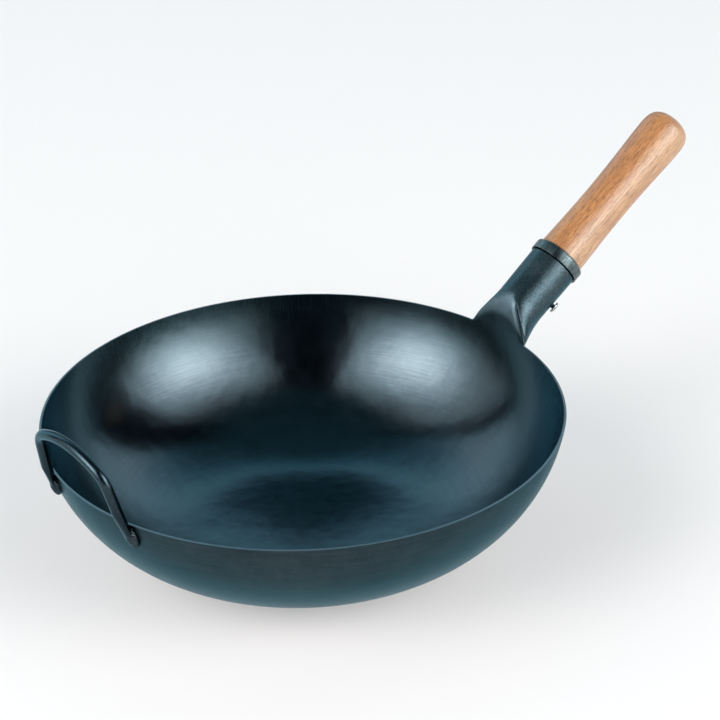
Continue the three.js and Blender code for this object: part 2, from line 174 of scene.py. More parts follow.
world = bpy.data.worlds.new("studio")
scene.world = world
world.use_nodes = True
tree = world.node_tree
tree.nodes.clear()
direction = add_node(tree, "ShaderNodeTexCoord").outputs["Generated"]
height = add_node(tree, "ShaderNodeSeparateXYZ", {0: direction}).outputs["Z"]
behind = add_node(tree, "ShaderNodeVectorMath", {
    0: direction, 1: -heading(CAMERA_AZIMUTH, 0),
}, operation="DOT_PRODUCT").outputs["Value"]
low_level = map_range(tree, behind, BACK_FROM, BACK_TO, SURROUND_SIDE, SURROUND_BACK, "SMOOTHSTEP")
overhead = map_range(tree, height, OVERHEAD_FROM, OVERHEAD_TO, interpolation_type="SMOOTHSTEP")
background = add_node(tree, "ShaderNodeBackground", {
    "Color": mix_colors(tree, overhead, SURROUND_COLOR, OVERHEAD_COLOR),
    "Strength": map_range(tree, overhead, 0.0, 1.0, low_level, OVERHEAD),
})
add_node(tree, "ShaderNodeOutputWorld", {"Surface": background.outputs[0]})

softbox_material, tree = new_material("softbox_cloth")
from_core = add_node(tree, "ShaderNodeUVMap", uv_map="from_core").outputs[0]
fall = bell(tree, from_core)
rise = add_node(tree, "ShaderNodeSeparateXYZ", {0: from_core}).outputs["Y"]
edge = map_range(tree, rise, *EDGE_FADE, SOFTBOX_EDGE, 0.0, "SMOOTHSTEP")
end_material(tree, "ShaderNodeEmission", {
    "Color": mix_colors(tree, fall, CORE_TAIL, CORE_COLOR),
    "Strength": math_node(tree, "MULTIPLY_ADD", fall, SOFTBOX_CORE, edge),
})
for side, (first, core, last, core_height) in SOFTBOXES.items():
    places, offsets = [], []
    for elevation in np.linspace(*SOFTBOX_ELEVATIONS, STAGE_STEPS):
        for turn in np.linspace(first, last, STAGE_STEPS):
            places.append(STUDIO_MIDDLE + SOFTBOX_DISTANCE * heading(CAMERA_AZIMUTH + turn, elevation))
            across = (turn - core) * math.cos(elevation)
            offsets.append((across / CORE_SPREAD, (elevation - core_height) / CORE_SPREAD))
    softbox = new_object(f"softbox_{side}", places, grid_faces(STAGE_STEPS, STAGE_STEPS), softbox_material)
    layer = softbox.data.uv_layers.new(name="from_core")
    for loop in softbox.data.loops:
        layer.data[loop.index].uv = offsets[loop.vertex_index]
    softbox.visible_camera = False

flag_material, tree = new_material("flag_cloth")
end_material(tree, "ShaderNodeBsdfDiffuse", {"Color": FLAG_COLOR})
for side, (first, last) in FLAGS.items():
    turns = np.linspace(first, last, STAGE_STEPS)
    feet = [FLAG_DISTANCE * heading(CAMERA_AZIMUTH + turn, 0) for turn in turns]
    tops = [foot + Vector((0, 0, FLAG_TOP)) for foot in feet]
    flag = new_object(f"flag_{side}", feet + tops, grid_faces(2, STAGE_STEPS), flag_material)
    flag.visible_camera = False
    flag.visible_shadow = False

# Wok body: one blank of carbon steel. The base and wall are spun, a tab on the rim is pinched into two
# creases and rolled into the socket, and the whole sheet is blued and polished in circles.
RIM_RADIUS = 0.16998
SHEET = 0.0015
WALL_ARC = 0.106
RIM_LEAN = math.radians(9.8)
HANDLE_RISE = math.radians(33.8)
AXIS_ABOVE_RIM = 0.004
NECK_HALF_WIDTH = 0.0274
NECK_LENGTH = 0.022
SCOOP_RISE = 0.015
NECK_RUN_IN = 0.009
CREASE_TURN = math.radians(26)
CREASE_STRAIGHT = 0.75
CREASE_DEPTH = 0.0013
CREASE_LIP = 0.00025
CREASE_WIDTHS = (0.0007, 0.0005)  # at the rim and at the upper end
CREASE_ASIDE = 0.3  # the groove's way from the fold into the scoop, in widths
LIP_ASIDE = 3.0
LIP_WIDTH = 2.0
CREASE_START = (0.02, 0.15)  # share of the neck where the crease begins
CREASE_FADE = (0.60, 0.82)  # share of the neck where the crease runs out
CREASE_PINCH = {-1: 1.0, 1: 0.15}  # how sharply each side is pinched
CREASE_SOFT = {-1: 0.0009, 1: 0.0034}  # and over what length its bend is eased
EASE_ROOM = 8  # a row is at least so many times as long as that
WORN_FROM = 0.31  # share of the neck where the press has scuffed the scoop
WORN_SOFT = (0.05, 0.12)  # how gradually it begins, before and after that place
WORN_TO = (0.40, 0.74)  # where it runs out at the sides
WORN_BOW = 0.24  # and how much later in the middle
WORN_SIDE = 0.93  # of the way from the middle to a crease
CORNER_INSET = 0.0042
CORNER_FROM = 0.88  # share of the way to the rim where the outer face begins to draw in for it
SOCKET_NECK_RADIUS = 0.01695
SOCKET_MOUTH_RADIUS = 0.0175
SOCKET_LENGTH = 0.040
COLLAR_OVERLAP = 0.0055
GAP_SHADE = 0.0007  # length of the painted shade behind the collar
SEAM_GAP = 0.0008
EDGE_ROUND = 0.0001
EDGE_SQUARE = 0.3  # below 1 makes the cut edge flat between small rounds
EDGE_STEPS = 12
SHARP_EDGE = math.radians(30)
BASE_BLEND = 0.036  # along the sheet, over which the flat base takes up the wall's bend
PROFILE_STEPS = 4000
BASE_RINGS = 12
WALL_ROWS = 60
SCOOP_COLUMNS = 64
WING_COLUMNS = 44
WING_CROWDING = 1.9  # above 1 draws the wing's columns towards the crease
RIM_COLUMNS = 300
NECK_ROWS = 48
SOCKET_ROWS = 16
CREASE_STEPS = 12  # between two rows of the neck, to find the nearest place of a crease
NEAR_ZERO = 1e-12

rim_slope = math.pi / 2 - RIM_LEAN
base_radius = RIM_RADIUS - WALL_ARC * math.sin(rim_slope)
rim_height = WALL_ARC * (1 - math.cos(rim_slope))
neck_half_angle = math.asin(NECK_HALF_WIDTH / RIM_RADIUS)
seam_turn = math.pi - SEAM_GAP / (2 * SOCKET_NECK_RADIUS)
mouth_at = NECK_LENGTH + SOCKET_LENGTH
handle_place = Matrix.Translation((RIM_RADIUS, 0, rim_height + AXIS_ABOVE_RIM))
handle_place = handle_place @ Matrix.Rotation(-HANDLE_RISE, 4, "Y")
handle_axis = np.array(handle_place.to_3x3() @ Vector((1, 0, 0)))
handle_foot = np.array(handle_place.translation)


def wall_point(slope, grow):
    reach = WALL_ARC + grow
    return base_radius + reach * math.sin(slope), WALL_ARC - reach * math.cos(slope)


def bowl_profile():
    """Slope, radius and height of the bowl's outer face along the sheet, from its middle to the rim."""
    end = base_radius + WALL_ARC * rim_slope
    along = np.linspace(0, end, PROFILE_STEPS)
    into = (along - base_radius) / BASE_BLEND + 0.5
    ramp = BASE_BLEND * np.where(into < 1, np.clip(into, 0, 1) ** 2 / 2, into - 0.5)
    slope = ramp / WALL_ARC
    steps = np.diff(along)
    middle = (slope[1:] + slope[:-1]) / 2
    radius = np.concatenate([[0], np.cumsum(np.cos(middle) * steps)])
    height = np.concatenate([[0], np.cumsum(np.sin(middle) * steps)])
    return along, slope, radius * RIM_RADIUS / radius[-1], height * rim_height / height[-1]


def bowl_point(along, grow):
    """Radius and height of a face of the bowl: grow 0 is its outer face, below 0 inside it."""
    slope, radius, height = (np.interp(along, PROFILE[0], column) for column in PROFILE[1:])
    return radius + grow * np.sin(slope), height - grow * np.cos(slope)


PROFILE = bowl_profile()


def around(angles, radius, height):
    angles = np.asarray(angles)
    return np.stack([radius * np.cos(angles), radius * np.sin(angles), np.full(angles.shape, height)], -1)


def on_handle(points):
    """Points of the handle's own frame, with X along the handle, in the object's frame."""
    turn = np.array(handle_place.to_3x3())
    return np.asarray(points) @ turn.T + handle_foot


def socket_radius(station):
    return np.interp(station, [NECK_LENGTH, mouth_at], [SOCKET_NECK_RADIUS, SOCKET_MOUTH_RADIUS])


def socket_ring(turns, station, grow):
    radius = socket_radius(station) + grow
    local = np.stack([np.full(turns.shape, station), radius * np.sin(turns), radius * np.cos(turns)], -1)
    return on_handle(local)


def scoop_places():
    """Places across the tab between its creases, from -1 to 1, crowded towards the creases."""
    return np.sin(np.linspace(-math.pi / 2, math.pi / 2, SCOOP_COLUMNS + 1))


def tab_columns():
    """Place on the rim, place round the socket and straightness of each column, from seam to seam."""
    scoop = scoop_places()
    share = (np.arange(1, WING_COLUMNS + 1) / WING_COLUMNS) ** WING_CROWDING
    wing_turn = CREASE_TURN + (seam_turn - CREASE_TURN) * share
    wing_straight = CREASE_STRAIGHT + (1 - CREASE_STRAIGHT) * np.sqrt(share)
    across = np.concatenate([-np.ones(WING_COLUMNS), scoop, np.ones(WING_COLUMNS)])
    turn = np.concatenate([-wing_turn[::-1], scoop * CREASE_TURN, wing_turn])
    straight = np.concatenate([wing_straight[::-1], CREASE_STRAIGHT * scoop**4, wing_straight])
    return across, turn, straight


def tab_rows(across, turn, straight, grow, corner_share):
    """Rows of the tab from the rim to the socket: each column bends from the wall into the socket."""
    angle = across * corner_share * neck_half_angle
    radius, height = wall_point(rim_slope, grow)
    start = around(angle, radius, height)
    end = socket_ring(turn, NECK_LENGTH, -SHEET if grow == 0 else 0)
    wall_way = around(angle, math.sin(RIM_LEAN), math.cos(RIM_LEAN))
    leave = start + wall_way * SCOOP_RISE * (1 - straight)[:, None] + (end - start) / 3 * straight[:, None]
    arrive = end - handle_axis * NECK_RUN_IN
    rows = []
    for share in np.linspace(0, 1, NECK_ROWS + 1):
        rest = 1 - share
        rows.append(
            rest**3 * start + 3 * rest**2 * share * leave + 3 * rest * share**2 * arrive + share**3 * end
        )
    for station in np.linspace(NECK_LENGTH, mouth_at, SOCKET_ROWS + 1)[1:]:
        rows.append(socket_ring(turn, station, -SHEET if grow == 0 else 0))
    return eased_creases(np.array(rows))


def eased_creases(rows):
    """The tab's rows with the bend at each crease spread out over a short length."""
    eased = rows.copy()
    for side, column in ((-1, WING_COLUMNS), (1, WING_COLUMNS + SCOOP_COLUMNS)):
        soft = CREASE_SOFT[side]
        for number in range(1, NECK_ROWS):
            row = rows[number]
            way = np.concatenate([[0], np.cumsum(np.linalg.norm(np.diff(row, axis=0), axis=-1))])
            weight = np.exp(-(((way[None] - way[:, None]) / soft) ** 2)) * np.gradient(way)[None]
            mean = weight @ row / weight.sum(1, keepdims=True)
            ease = min(soft, way[-1] / EASE_ROOM)
            near = np.exp(-(((way - way[column]) / (2 * ease)) ** 2))[:, None]
            eased[number] += (mean - row) * near
    return eased


def grid_normals(rows):
    normal = np.cross(np.gradient(rows, axis=0), np.gradient(rows, axis=1))
    return normal / np.maximum(np.linalg.norm(normal, axis=-1, keepdims=True), NEAR_ZERO)


def smooth_step(low, high, value):
    share = np.clip((value - low) / (high - low), 0, 1)
    return share * share * (3 - 2 * share)


def crease_shift(rows):
    """How far each point of the tab moves for the pinched creases: a groove beside the fold, and a lip."""
    shift = np.zeros(rows.shape[:2])
    fine = np.linspace(0, NECK_ROWS, CREASE_STEPS * NECK_ROWS + 1)
    in_scoop = np.abs(np.arange(rows.shape[1]) - WING_COLUMNS - SCOOP_COLUMNS / 2) <= SCOOP_COLUMNS / 2
    inward = np.where(in_scoop, 1, -1)
    for side, column in ((-1, WING_COLUMNS), (1, WING_COLUMNS + SCOOP_COLUMNS)):
        line = rows[: NECK_ROWS + 1, column]
        line = np.stack([np.interp(fine, np.arange(NECK_ROWS + 1), line[:, axis]) for axis in range(3)], -1)
        gap = np.linalg.norm(rows[:, :, None] - line[None, None], axis=-1)
        share = gap.argmin(-1) / (len(fine) - 1)
        distance = inward * gap.min(-1) / np.interp(share, CREASE_FADE, CREASE_WIDTHS)
        strength = smooth_step(*CREASE_START, share) * (1 - smooth_step(*CREASE_FADE, share))
        groove = -CREASE_DEPTH * np.exp(-((distance - CREASE_ASIDE) ** 2))
        lip = CREASE_LIP * np.exp(-(((distance - LIP_ASIDE) / LIP_WIDTH) ** 2))
        shift += CREASE_PINCH[side] * strength * (groove + lip)
    return shift


across, turn, straight = tab_columns()
tab_shift = crease_shift(tab_rows(across, turn, straight, -SHEET, 1))
tab_groove = np.clip(-tab_shift / CREASE_DEPTH, 0, 1)
way_up = (np.arange(len(tab_shift)) / NECK_ROWS)[:, None]
off_middle = np.abs(turn / CREASE_TURN)[None]
bow = np.clip(1 - off_middle**2, 0, 1)
tab_worn = smooth_step(WORN_FROM * bow - WORN_SOFT[0], WORN_FROM * bow + WORN_SOFT[1], way_up)
tab_worn = tab_worn * (1 - smooth_step(*WORN_TO, way_up - WORN_BOW * bow))
tab_worn = tab_worn * (1 - smooth_step(WORN_SIDE, 1.0, off_middle))
tab_way = -grid_normals(tab_rows(across, turn, straight, -SHEET, 1))


def sheet_face(grow):
    """One face of the sheet as points and quads, with its cut edge and each point's marks."""
    corner_share = 1 if grow < 0 else 1 - CORNER_INSET / NECK_HALF_WIDTH
    scoop_angles = scoop_places() * neck_half_angle
    open_angles = np.linspace(neck_half_angle, math.tau - neck_half_angle, RIM_COLUMNS + 1)[1:-1]
    angles = np.concatenate([scoop_angles, open_angles])
    count = len(angles)
    points = [np.array([[0, 0, -grow]])]
    along = [np.zeros(1)]
    blend_from = base_radius - BASE_BLEND / 2
    stations = np.linspace(0, blend_from, BASE_RINGS, endpoint=False)[1:]
    stations = np.concatenate([stations, np.linspace(blend_from, PROFILE[0][-1], WALL_ROWS + 1)])
    for station in stations:
        share = smooth_step(CORNER_FROM, 1.0, station / stations[-1])
        turned_in = np.concatenate([scoop_angles * (1 + (corner_share - 1) * share), open_angles])
        points.append(around(turned_in, *bowl_point(station, grow)))
        along.append(np.full(count, station))
    ring_start = [1 + count * i for i in range(len(stations))]
    faces = []
    for i in range(count):
        faces.append((0, ring_start[0] + i, ring_start[0] + (i + 1) % count))
    for low, high in zip(ring_start, ring_start[1:]):
        for i in range(count):
            j = (i + 1) % count
            faces.append((low + i, high + i, high + j, low + j))
    rim = np.arange(ring_start[-1], ring_start[-1] + count)
    plain = np.zeros(1 + count * len(stations))
    groove = np.concatenate([plain, tab_groove[1:].reshape(-1)])
    worn = np.concatenate([plain, tab_worn[1:].reshape(-1)])

    rows = tab_rows(across, turn, straight, grow, corner_share)
    rows = rows + tab_way * tab_shift[..., None]
    first = ring_start[-1] + count
    columns = len(across)
    numbers = np.zeros(rows.shape[:2], int)
    numbers[0] = rim[np.clip(np.arange(columns) - WING_COLUMNS, 0, SCOOP_COLUMNS)]
    numbers[1:] = first + np.arange((len(rows) - 1) * columns).reshape(-1, columns)
    points.append(rows[1:].reshape(-1, 3))
    lengths = np.cumsum(np.linalg.norm(np.diff(rows, axis=0), axis=-1), axis=0)
    along.append((along[-1][0] + lengths).reshape(-1))
    for low, high in zip(numbers, numbers[1:]):
        for c in range(1, columns):
            corners = []
            for corner in (low[c - 1], high[c - 1], high[c], low[c]):
                if corner not in corners:
                    corners.append(corner)
            faces.append(tuple(corners))
    edge = [*rim[SCOOP_COLUMNS:], rim[0], *numbers[1:, 0], *numbers[-1, 1:-1], *numbers[:0:-1, -1]]
    return np.concatenate(points), faces, np.array(edge), {
        "along": np.concatenate(along), "groove": groove, "worn": worn,
    }


def sheet_mesh():
    """The whole sheet as points and quads, with each point's marks for the material."""
    upper, upper_faces, upper_edge, upper_marks = sheet_face(-SHEET)
    under, under_faces, under_edge, under_marks = sheet_face(0)
    shift = len(upper)
    points = [upper, under]
    faces = upper_faces + [tuple(shift + i for i in reversed(face)) for face in under_faces]
    marks = {
        "along": [upper_marks["along"], under_marks["along"]],
        "groove": [upper_marks["groove"], 0 * under_marks["groove"]],
        "worn": [upper_marks["worn"], 0 * under_marks["worn"]],
        "inside": [np.ones(len(upper)), np.zeros(len(under))],
        "cut": [np.zeros(len(upper)), np.zeros(len(under))],
    }
    above, below = upper[upper_edge], under[under_edge]
    middle = (above + below) / 2
    forward = np.roll(middle, -1, 0) - np.roll(middle, 1, 0)
    outward = np.cross(above - below, forward)
    outward /= np.maximum(np.linalg.norm(outward, axis=-1, keepdims=True), NEAR_ZERO)
    loops = [upper_edge]
    total = shift + len(under)
    edge_marks = {"along": upper_marks["along"][upper_edge], "groove": 0, "worn": 0, "inside": 1, "cut": 1}
    for bend in np.linspace(0, math.pi, EDGE_STEPS)[1:-1]:
        aside = math.copysign(abs(math.cos(bend)) ** EDGE_SQUARE, math.cos(bend))
        out = EDGE_ROUND * math.sin(bend) ** EDGE_SQUARE
        points.append(middle + (above - middle) * aside + outward * out)
        for name, value in edge_marks.items():
            marks[name].append(np.zeros(len(upper_edge)) + value)
        loops.append(np.arange(total, total + len(upper_edge)))
        total += len(upper_edge)
    loops.append(shift + under_edge)
    for a, b in zip(loops, loops[1:]):
        for i in range(len(a)):
            j = (i + 1) % len(a)
            faces.append((a[j], a[i], b[i], b[j]))
    return np.concatenate(points), faces, {name: np.concatenate(parts) for name, parts in marks.items()}


BASE_DARK, BASE_LIGHT = (0.007, 0.040, 0.060, 1), (0.026, 0.086, 0.120, 1)
WALL_DARK, WALL_LIGHT = (0.020, 0.034, 0.043, 1), (0.052, 0.076, 0.088, 1)
SOCKET_DARK, SOCKET_LIGHT = (0.010, 0.036, 0.050, 1), (0.080, 0.106, 0.115, 1)
OUTSIDE_DARK, OUTSIDE_LIGHT = (0.007, 0.018, 0.024, 1), (0.042, 0.064, 0.074, 1)
STEEL_TARNISH = (0.024, 0.050, 0.058, 1)
# Painted shade: a near black put behind the collar, in the crease groove and between the weld's ripples.
PAINTED_SHADE = (0.001, 0.001, 0.001, 1)
GROOVE_SHADE = (0.6, 0.95, 0.0, 0.9)  # painted shade in the crease groove: from and to these depths of it, and none to this share
COLLAR_SHADE_FADE = 1.4  # where the painted shade behind the collar ends, in its lengths
CUT_EDGE = (0.15, 0.21, 0.24, 1)
SCOOP_WORN = (0.135, 0.195, 0.225, 1)
WORN_UNEVEN = 0.55  # share of the scuffing in the hollows of the mottles
STEEL_GRAZE = (0.56, 0.83, 0.93, 1)  # tint of what it mirrors at a low angle
SKIN_INSIDE, SKIN_OUTSIDE = 0.50, 0.08  # share of the clear oxide skin over the bluing
SKIN_ON_SOCKET = 0.3  # of the skin inside
BASE_TO_WALL = (0.06, 0.13)  # along the sheet, where the bluing changes
METAL_SHARE = (0.86, 1.0)  # at the base, where the oxide is thicker, and on the wall
WORN_COLOR, WORN_METAL = 0.75, -0.4  # what the scuffing changes
STREAK_COLOR = 0.2
POLISH_LINES = 1250.0  # per metre along the sheet
POLISH_ARC = 5.0
STREAK_ACROSS = 260.0
STREAK_ALONG = 45.0
STREAKS_FROM, STREAKS_TO = 0.150, 0.212  # along the sheet, near the rim
TARNISH_FROM = 0.172
TARNISH_CLOUDS = 6.0
STREAK_PATCHES = 9.0
BLOTCHES = 14.0
MOTTLES = 85.0
WAVES = 42.0
GRIT = 1600.0
SCRATCH_WAY = (0.0, 0.0, 0.7)
SCRATCHES = (35.0, 900.0, 250.0)
SOCKET_GRAIN = 800.0
SOCKET_FROM, SOCKET_TO = 0.214, 0.232  # along the sheet, where the neck runs into the socket
DISH_LOW = (0.040, 0.045, 0.0)  # the lowest point of the slightly dished base
DISH_REACH = (0.075, 0.045, 1.0)  # of its bowl shape: along DISH_TURN, across it
DISH_TURN = math.radians(52)
# How far each mark leads from a dark colour to the light one, how much rougher it makes the steel, and
# how high it stands, in tenths of a millimetre. The dish is in the base's shading alone.
STEEL_TONE = {"mottles": 0.25, "blotches": 0.25}
BOWL_TONE = {"polish": 0.5, "scratches": 0.35}
SOCKET_TONE = {"grain": 0.6}
STEEL_ROUGHNESS = 0.12
STEEL_ROUGHER = {
    "blotches": 0.04, "mottles": 0.06, "streaks": 0.08, "tarnish": 0.10, "shade_and_cut_edge": 0.25, "unpolished": 0.16,
}
STEEL_RELIEF = {
    "grit": 0.15, "polish": 0.08, "streaks": 0.02, "mottles": 0.3, "waves": 1.8, "socket": 0.9, "dish": -60.0,
}
RELIEF_UNIT = 0.0001


def noise(tree, vector, scale, detail=2.0, roughness=0.5, between=None):
    """Clouds of a scale, as they are or spread out so that two levels become 0 and 1."""
    clouds = add_node(tree, "ShaderNodeTexNoise", {
        "Vector": vector, "Scale": scale, "Detail": detail, "Roughness": roughness,
    }).outputs["Fac"]
    return map_range(tree, clouds, *between) if between else clouds


def object_place(tree):
    return add_node(tree, "ShaderNodeTexCoord").outputs["Object"]


def mark(tree, name):
    """A mark that the piece's own points carry."""
    return add_node(tree, "ShaderNodeAttribute", attribute_name=name).outputs["Fac"]


def stretched(tree, vector, scale, rotation=(0.0, 0.0, 0.0)):
    return add_node(tree, "ShaderNodeMapping", {
        "Vector": vector, "Rotation": rotation, "Scale": scale,
    }).outputs[0]


def layered(tree, start, shares, marks):
    """A start value with a share of each named mark added to it."""
    for name, share in shares.items():
        start = math_node(tree, "MULTIPLY_ADD", marks[name], share, start)
    return start


def bumped(tree, height, strength, unit):
    return add_node(tree, "ShaderNodeBump", {
        "Height": height, "Strength": strength, "Distance": unit,
    }).outputs[0]


def steel_finish_group():
    """Blotches of the oxide, lines of the polishing and fine grit, each from 0 to 1 over the surface."""
    group = bpy.data.node_groups.new("steel_finish", "ShaderNodeTree")
    for name, kind in (("Vector", "NodeSocketVector"), ("Line Vector", "NodeSocketVector"),
                       ("Blotch Scale", "NodeSocketFloat"), ("Grit Scale", "NodeSocketFloat")):
        group.interface.new_socket(name, in_out="INPUT", socket_type=kind)
    for name in ("Blotches", "Lines", "Grit"):
        group.interface.new_socket(name, in_out="OUTPUT", socket_type="NodeSocketFloat")
    given = add_node(group, "NodeGroupInput").outputs
    lines = noise(group, given["Line Vector"], 1.0, detail=3.0, roughness=0.65, between=(0.28, 0.72))
    add_node(group, "NodeGroupOutput", {
        "Blotches": noise(group, given["Vector"], given["Blotch Scale"], 5.0, 0.6, between=(0.3, 0.7)),
        "Lines": lines,
        "Grit": noise(group, given["Vector"], given["Grit Scale"], between=(0.3, 0.7)),
    })
    return group


steel_finish = steel_finish_group()


def finish_node(tree, vector, line_vector, blotch_scale, grit_scale):
    return add_node(tree, "ShaderNodeGroup", {
        "Vector": vector, "Line Vector": line_vector, "Blotch Scale": blotch_scale, "Grit Scale": grit_scale,
    }, node_tree=steel_finish).outputs


steel_material, tree = new_material("blued_steel")
place = object_place(tree)
x, y, _ = add_node(tree, "ShaderNodeSeparateXYZ", {0: place}).outputs
flat = add_node(tree, "ShaderNodeCombineXYZ", {"X": x, "Y": y}).outputs[0]
ray = add_node(tree, "ShaderNodeVectorMath", {0: flat}, operation="NORMALIZE").outputs[0]
along_sheet = mark(tree, "along")
inside = mark(tree, "inside")
cut = mark(tree, "cut")


def sheet_vector(tree, across, along):
    """A pattern's place on the sheet: across counts round the bowl, along from its middle to the rim."""
    spread = add_node(tree, "ShaderNodeVectorMath", {0: ray, "Scale": across}, operation="SCALE").outputs[0]
    rise = add_node(tree, "ShaderNodeCombineXYZ", {"Z": math_node(tree, "MULTIPLY", along_sheet, along)})
    return add_node(tree, "ShaderNodeVectorMath", {0: spread, 1: rise.outputs[0]}).outputs[0]


def rest_of(tree, value):
    return math_node(tree, "SUBTRACT", 1.0, value)


finish = finish_node(tree, place, sheet_vector(tree, POLISH_ARC, POLISH_LINES), BLOTCHES, GRIT)
on_socket = map_range(tree, along_sheet, SOCKET_FROM, SOCKET_TO)
near_rim = map_range(tree, along_sheet, STREAKS_FROM, STREAKS_TO)
at_rim = map_range(tree, along_sheet, TARNISH_FROM, STREAKS_TO)
streaks = noise(
    tree, sheet_vector(tree, STREAK_ACROSS, STREAK_ALONG), 1.0, detail=3.0, between=(0.35, 0.75)
)
patches = noise(tree, place, STREAK_PATCHES, between=(0.42, 0.62))
scratches = noise(tree, stretched(tree, place, SCRATCHES, SCRATCH_WAY), 1.0, between=(0.60, 0.72))
tarnish = noise(tree, place, TARNISH_CLOUDS, detail=3.0, between=(0.40, 0.60, 0.3, 0.9))
grain = noise(tree, place, SOCKET_GRAIN)
finishes = {
    "blotches": finish["Blotches"],
    "grit": finish["Grit"],
    "polish": math_node(tree, "MULTIPLY", finish["Lines"], rest_of(tree, on_socket)),
    "scratches": math_node(tree, "MULTIPLY", scratches, finish["Blotches"]),
    "mottles": noise(tree, place, MOTTLES, detail=4.0, roughness=0.6, between=(0.3, 0.7)),
    "waves": noise(tree, place, WAVES),
    "streaks": math_node(tree, "MULTIPLY", math_node(tree, "MULTIPLY", streaks, near_rim), patches),
    "tarnish": math_node(tree, "MULTIPLY", tarnish, at_rim),
    "grain": map_range(tree, grain, 0.3, 0.7),
    "socket": math_node(tree, "MULTIPLY", grain, on_socket),
}
tone = layered(tree, 0.0, STEEL_TONE, finishes)
socket_color = mix_colors(tree, layered(tree, tone, SOCKET_TONE, finishes), SOCKET_DARK, SOCKET_LIGHT)
tone = layered(tree, tone, BOWL_TONE, finishes)
base_color = mix_colors(tree, tone, BASE_DARK, BASE_LIGHT)
wall_color = mix_colors(tree, tone, WALL_DARK, WALL_LIGHT)
outside_color = mix_colors(tree, tone, OUTSIDE_DARK, OUTSIDE_LIGHT)
color = mix_colors(tree, map_range(tree, along_sheet, *BASE_TO_WALL), base_color, wall_color)
color = mix_colors(tree, finishes["tarnish"], color, STEEL_TARNISH)
color = mix_colors(tree, math_node(tree, "MULTIPLY", finishes["streaks"], STREAK_COLOR), color, WALL_LIGHT)
color = mix_colors(tree, on_socket, color, socket_color)
color = mix_colors(tree, inside, outside_color, color)
uneven = map_range(tree, finishes["mottles"], 0.0, 1.0, WORN_UNEVEN, 1.0)
worn = math_node(tree, "MULTIPLY", mark(tree, "worn"), uneven)
color = mix_colors(tree, math_node(tree, "MULTIPLY", worn, WORN_COLOR), color, SCOOP_WORN)
back_turn = handle_place.inverted()


def along_handle(tree, place):
    """Places in the handle's own frame, with X along the handle."""
    return add_node(tree, "ShaderNodeMapping", {
        "Vector": place, "Location": back_turn.translation, "Rotation": back_turn.to_euler(),
    }).outputs[0]


station = add_node(tree, "ShaderNodeSeparateXYZ", {0: along_handle(tree, place)}).outputs["X"]
collar_back = mouth_at - COLLAR_OVERLAP
# Painted shade: the socket just behind the collar's back edge and the deep middle of the crease groove.
collar_and_groove_shade = map_range(tree, station, collar_back - COLLAR_SHADE_FADE * GAP_SHADE, collar_back - GAP_SHADE)
collar_and_groove_shade = math_node(tree, "MAXIMUM", collar_and_groove_shade, map_range(tree, mark(tree, "groove"), *GROOVE_SHADE))
color = mix_colors(tree, collar_and_groove_shade, color, PAINTED_SHADE)
color = mix_colors(tree, cut, color, CUT_EDGE)
# The painted shade and the cut edge are made rougher.
finishes["shade_and_cut_edge"] = math_node(tree, "MAXIMUM", collar_and_groove_shade, cut)
finishes["unpolished"] = math_node(tree, "MAXIMUM", rest_of(tree, inside), on_socket)
from_low = add_node(tree, "ShaderNodeMapping", {
    "Vector": flat, "Location": DISH_LOW, "Rotation": (0.0, 0.0, DISH_TURN), "Scale": DISH_REACH,
}, vector_type="TEXTURE").outputs[0]
finishes["dish"] = math_node(tree, "MULTIPLY", bell(tree, from_low), inside)
skin = map_range(tree, inside, 0.0, 1.0, SKIN_OUTSIDE, SKIN_INSIDE)
skin = math_node(tree, "MULTIPLY", skin, rest_of(tree, collar_and_groove_shade))
skin = math_node(tree, "MULTIPLY", skin, map_range(tree, on_socket, 0.0, 1.0, 1.0, SKIN_ON_SOCKET))
metal = map_range(tree, along_sheet, *BASE_TO_WALL, *METAL_SHARE)
normal = bumped(tree, layered(tree, 0.0, STEEL_RELIEF, finishes), 1.0, RELIEF_UNIT)
end_material(tree, "ShaderNodeBsdfPrincipled", {
    "Base Color": color, "Specular Tint": STEEL_GRAZE, "Normal": normal,
    "Metallic": math_node(tree, "MULTIPLY_ADD", worn, WORN_METAL, metal),
    "Roughness": layered(tree, STEEL_ROUGHNESS, STEEL_ROUGHER, finishes),
    "Coat Weight": skin, "Coat Roughness": 0.16, "Coat IOR": 1.5, "Coat Normal": normal,
})

vertices, faces, marks = sheet_mesh()
wok_body = new_object("wok_sheet", vertices, faces, steel_material)
wok_body.data.set_sharp_from_angle(angle=SHARP_EDGE)
for name, values in marks.items():
    wok_body.data.attributes.new(name, "FLOAT", "POINT").data.foreach_set("value", values.astype(np.float32))
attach(wok_body, "root")
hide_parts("wok_body")

# Helper loop: black drawn rod, bent to an arched bar between two legs. Each foot is cut on a slant so
# that it lies thin against the wall where it is welded.
ROD_RADIUS = 0.0035
ROD_SIDES = 40
CLEARANCE = 0.0003
LOOP_LEAN = math.radians(13.5)
LOOP_FOOT_HALF_WIDTH = 0.0426
LOOP_TOP_HALF_WIDTH = 0.0348
LOOP_RISE = 0.0355
LOOP_ARCH = 0.009
LOOP_BEND = 0.008
FOOT_BELOW_RIM = 0.012
FOOT_TAPER = 0.022
LEG_STEPS, BEND_STEPS, BAR_STEPS = 40, 24, 48
FOOT_CROWN = 0.45  # share of the rod's round that the cut foot keeps
leg_radius, leg_height = wall_point(math.pi / 2 - LOOP_LEAN, ROD_RADIUS + CLEARANCE)
loop_at_leg = -math.sqrt(leg_radius**2 - LOOP_FOOT_HALF_WIDTH**2)


def loop_point(across, rise):
    """A point of the loop's plane: across is along Y, rise runs up the lean from the rim."""
    height = rim_height + rise * math.cos(LOOP_LEAN)
    return Vector((loop_at_leg - (height - leg_height) * math.tan(LOOP_LEAN), across, height))


def leg_point(side, rise):
    share = (rise + FOOT_BELOW_RIM) / (LOOP_RISE + FOOT_BELOW_RIM)
    half_width = LOOP_FOOT_HALF_WIDTH + (LOOP_TOP_HALF_WIDTH - LOOP_FOOT_HALF_WIDTH) * share
    return loop_point(side * half_width, rise)


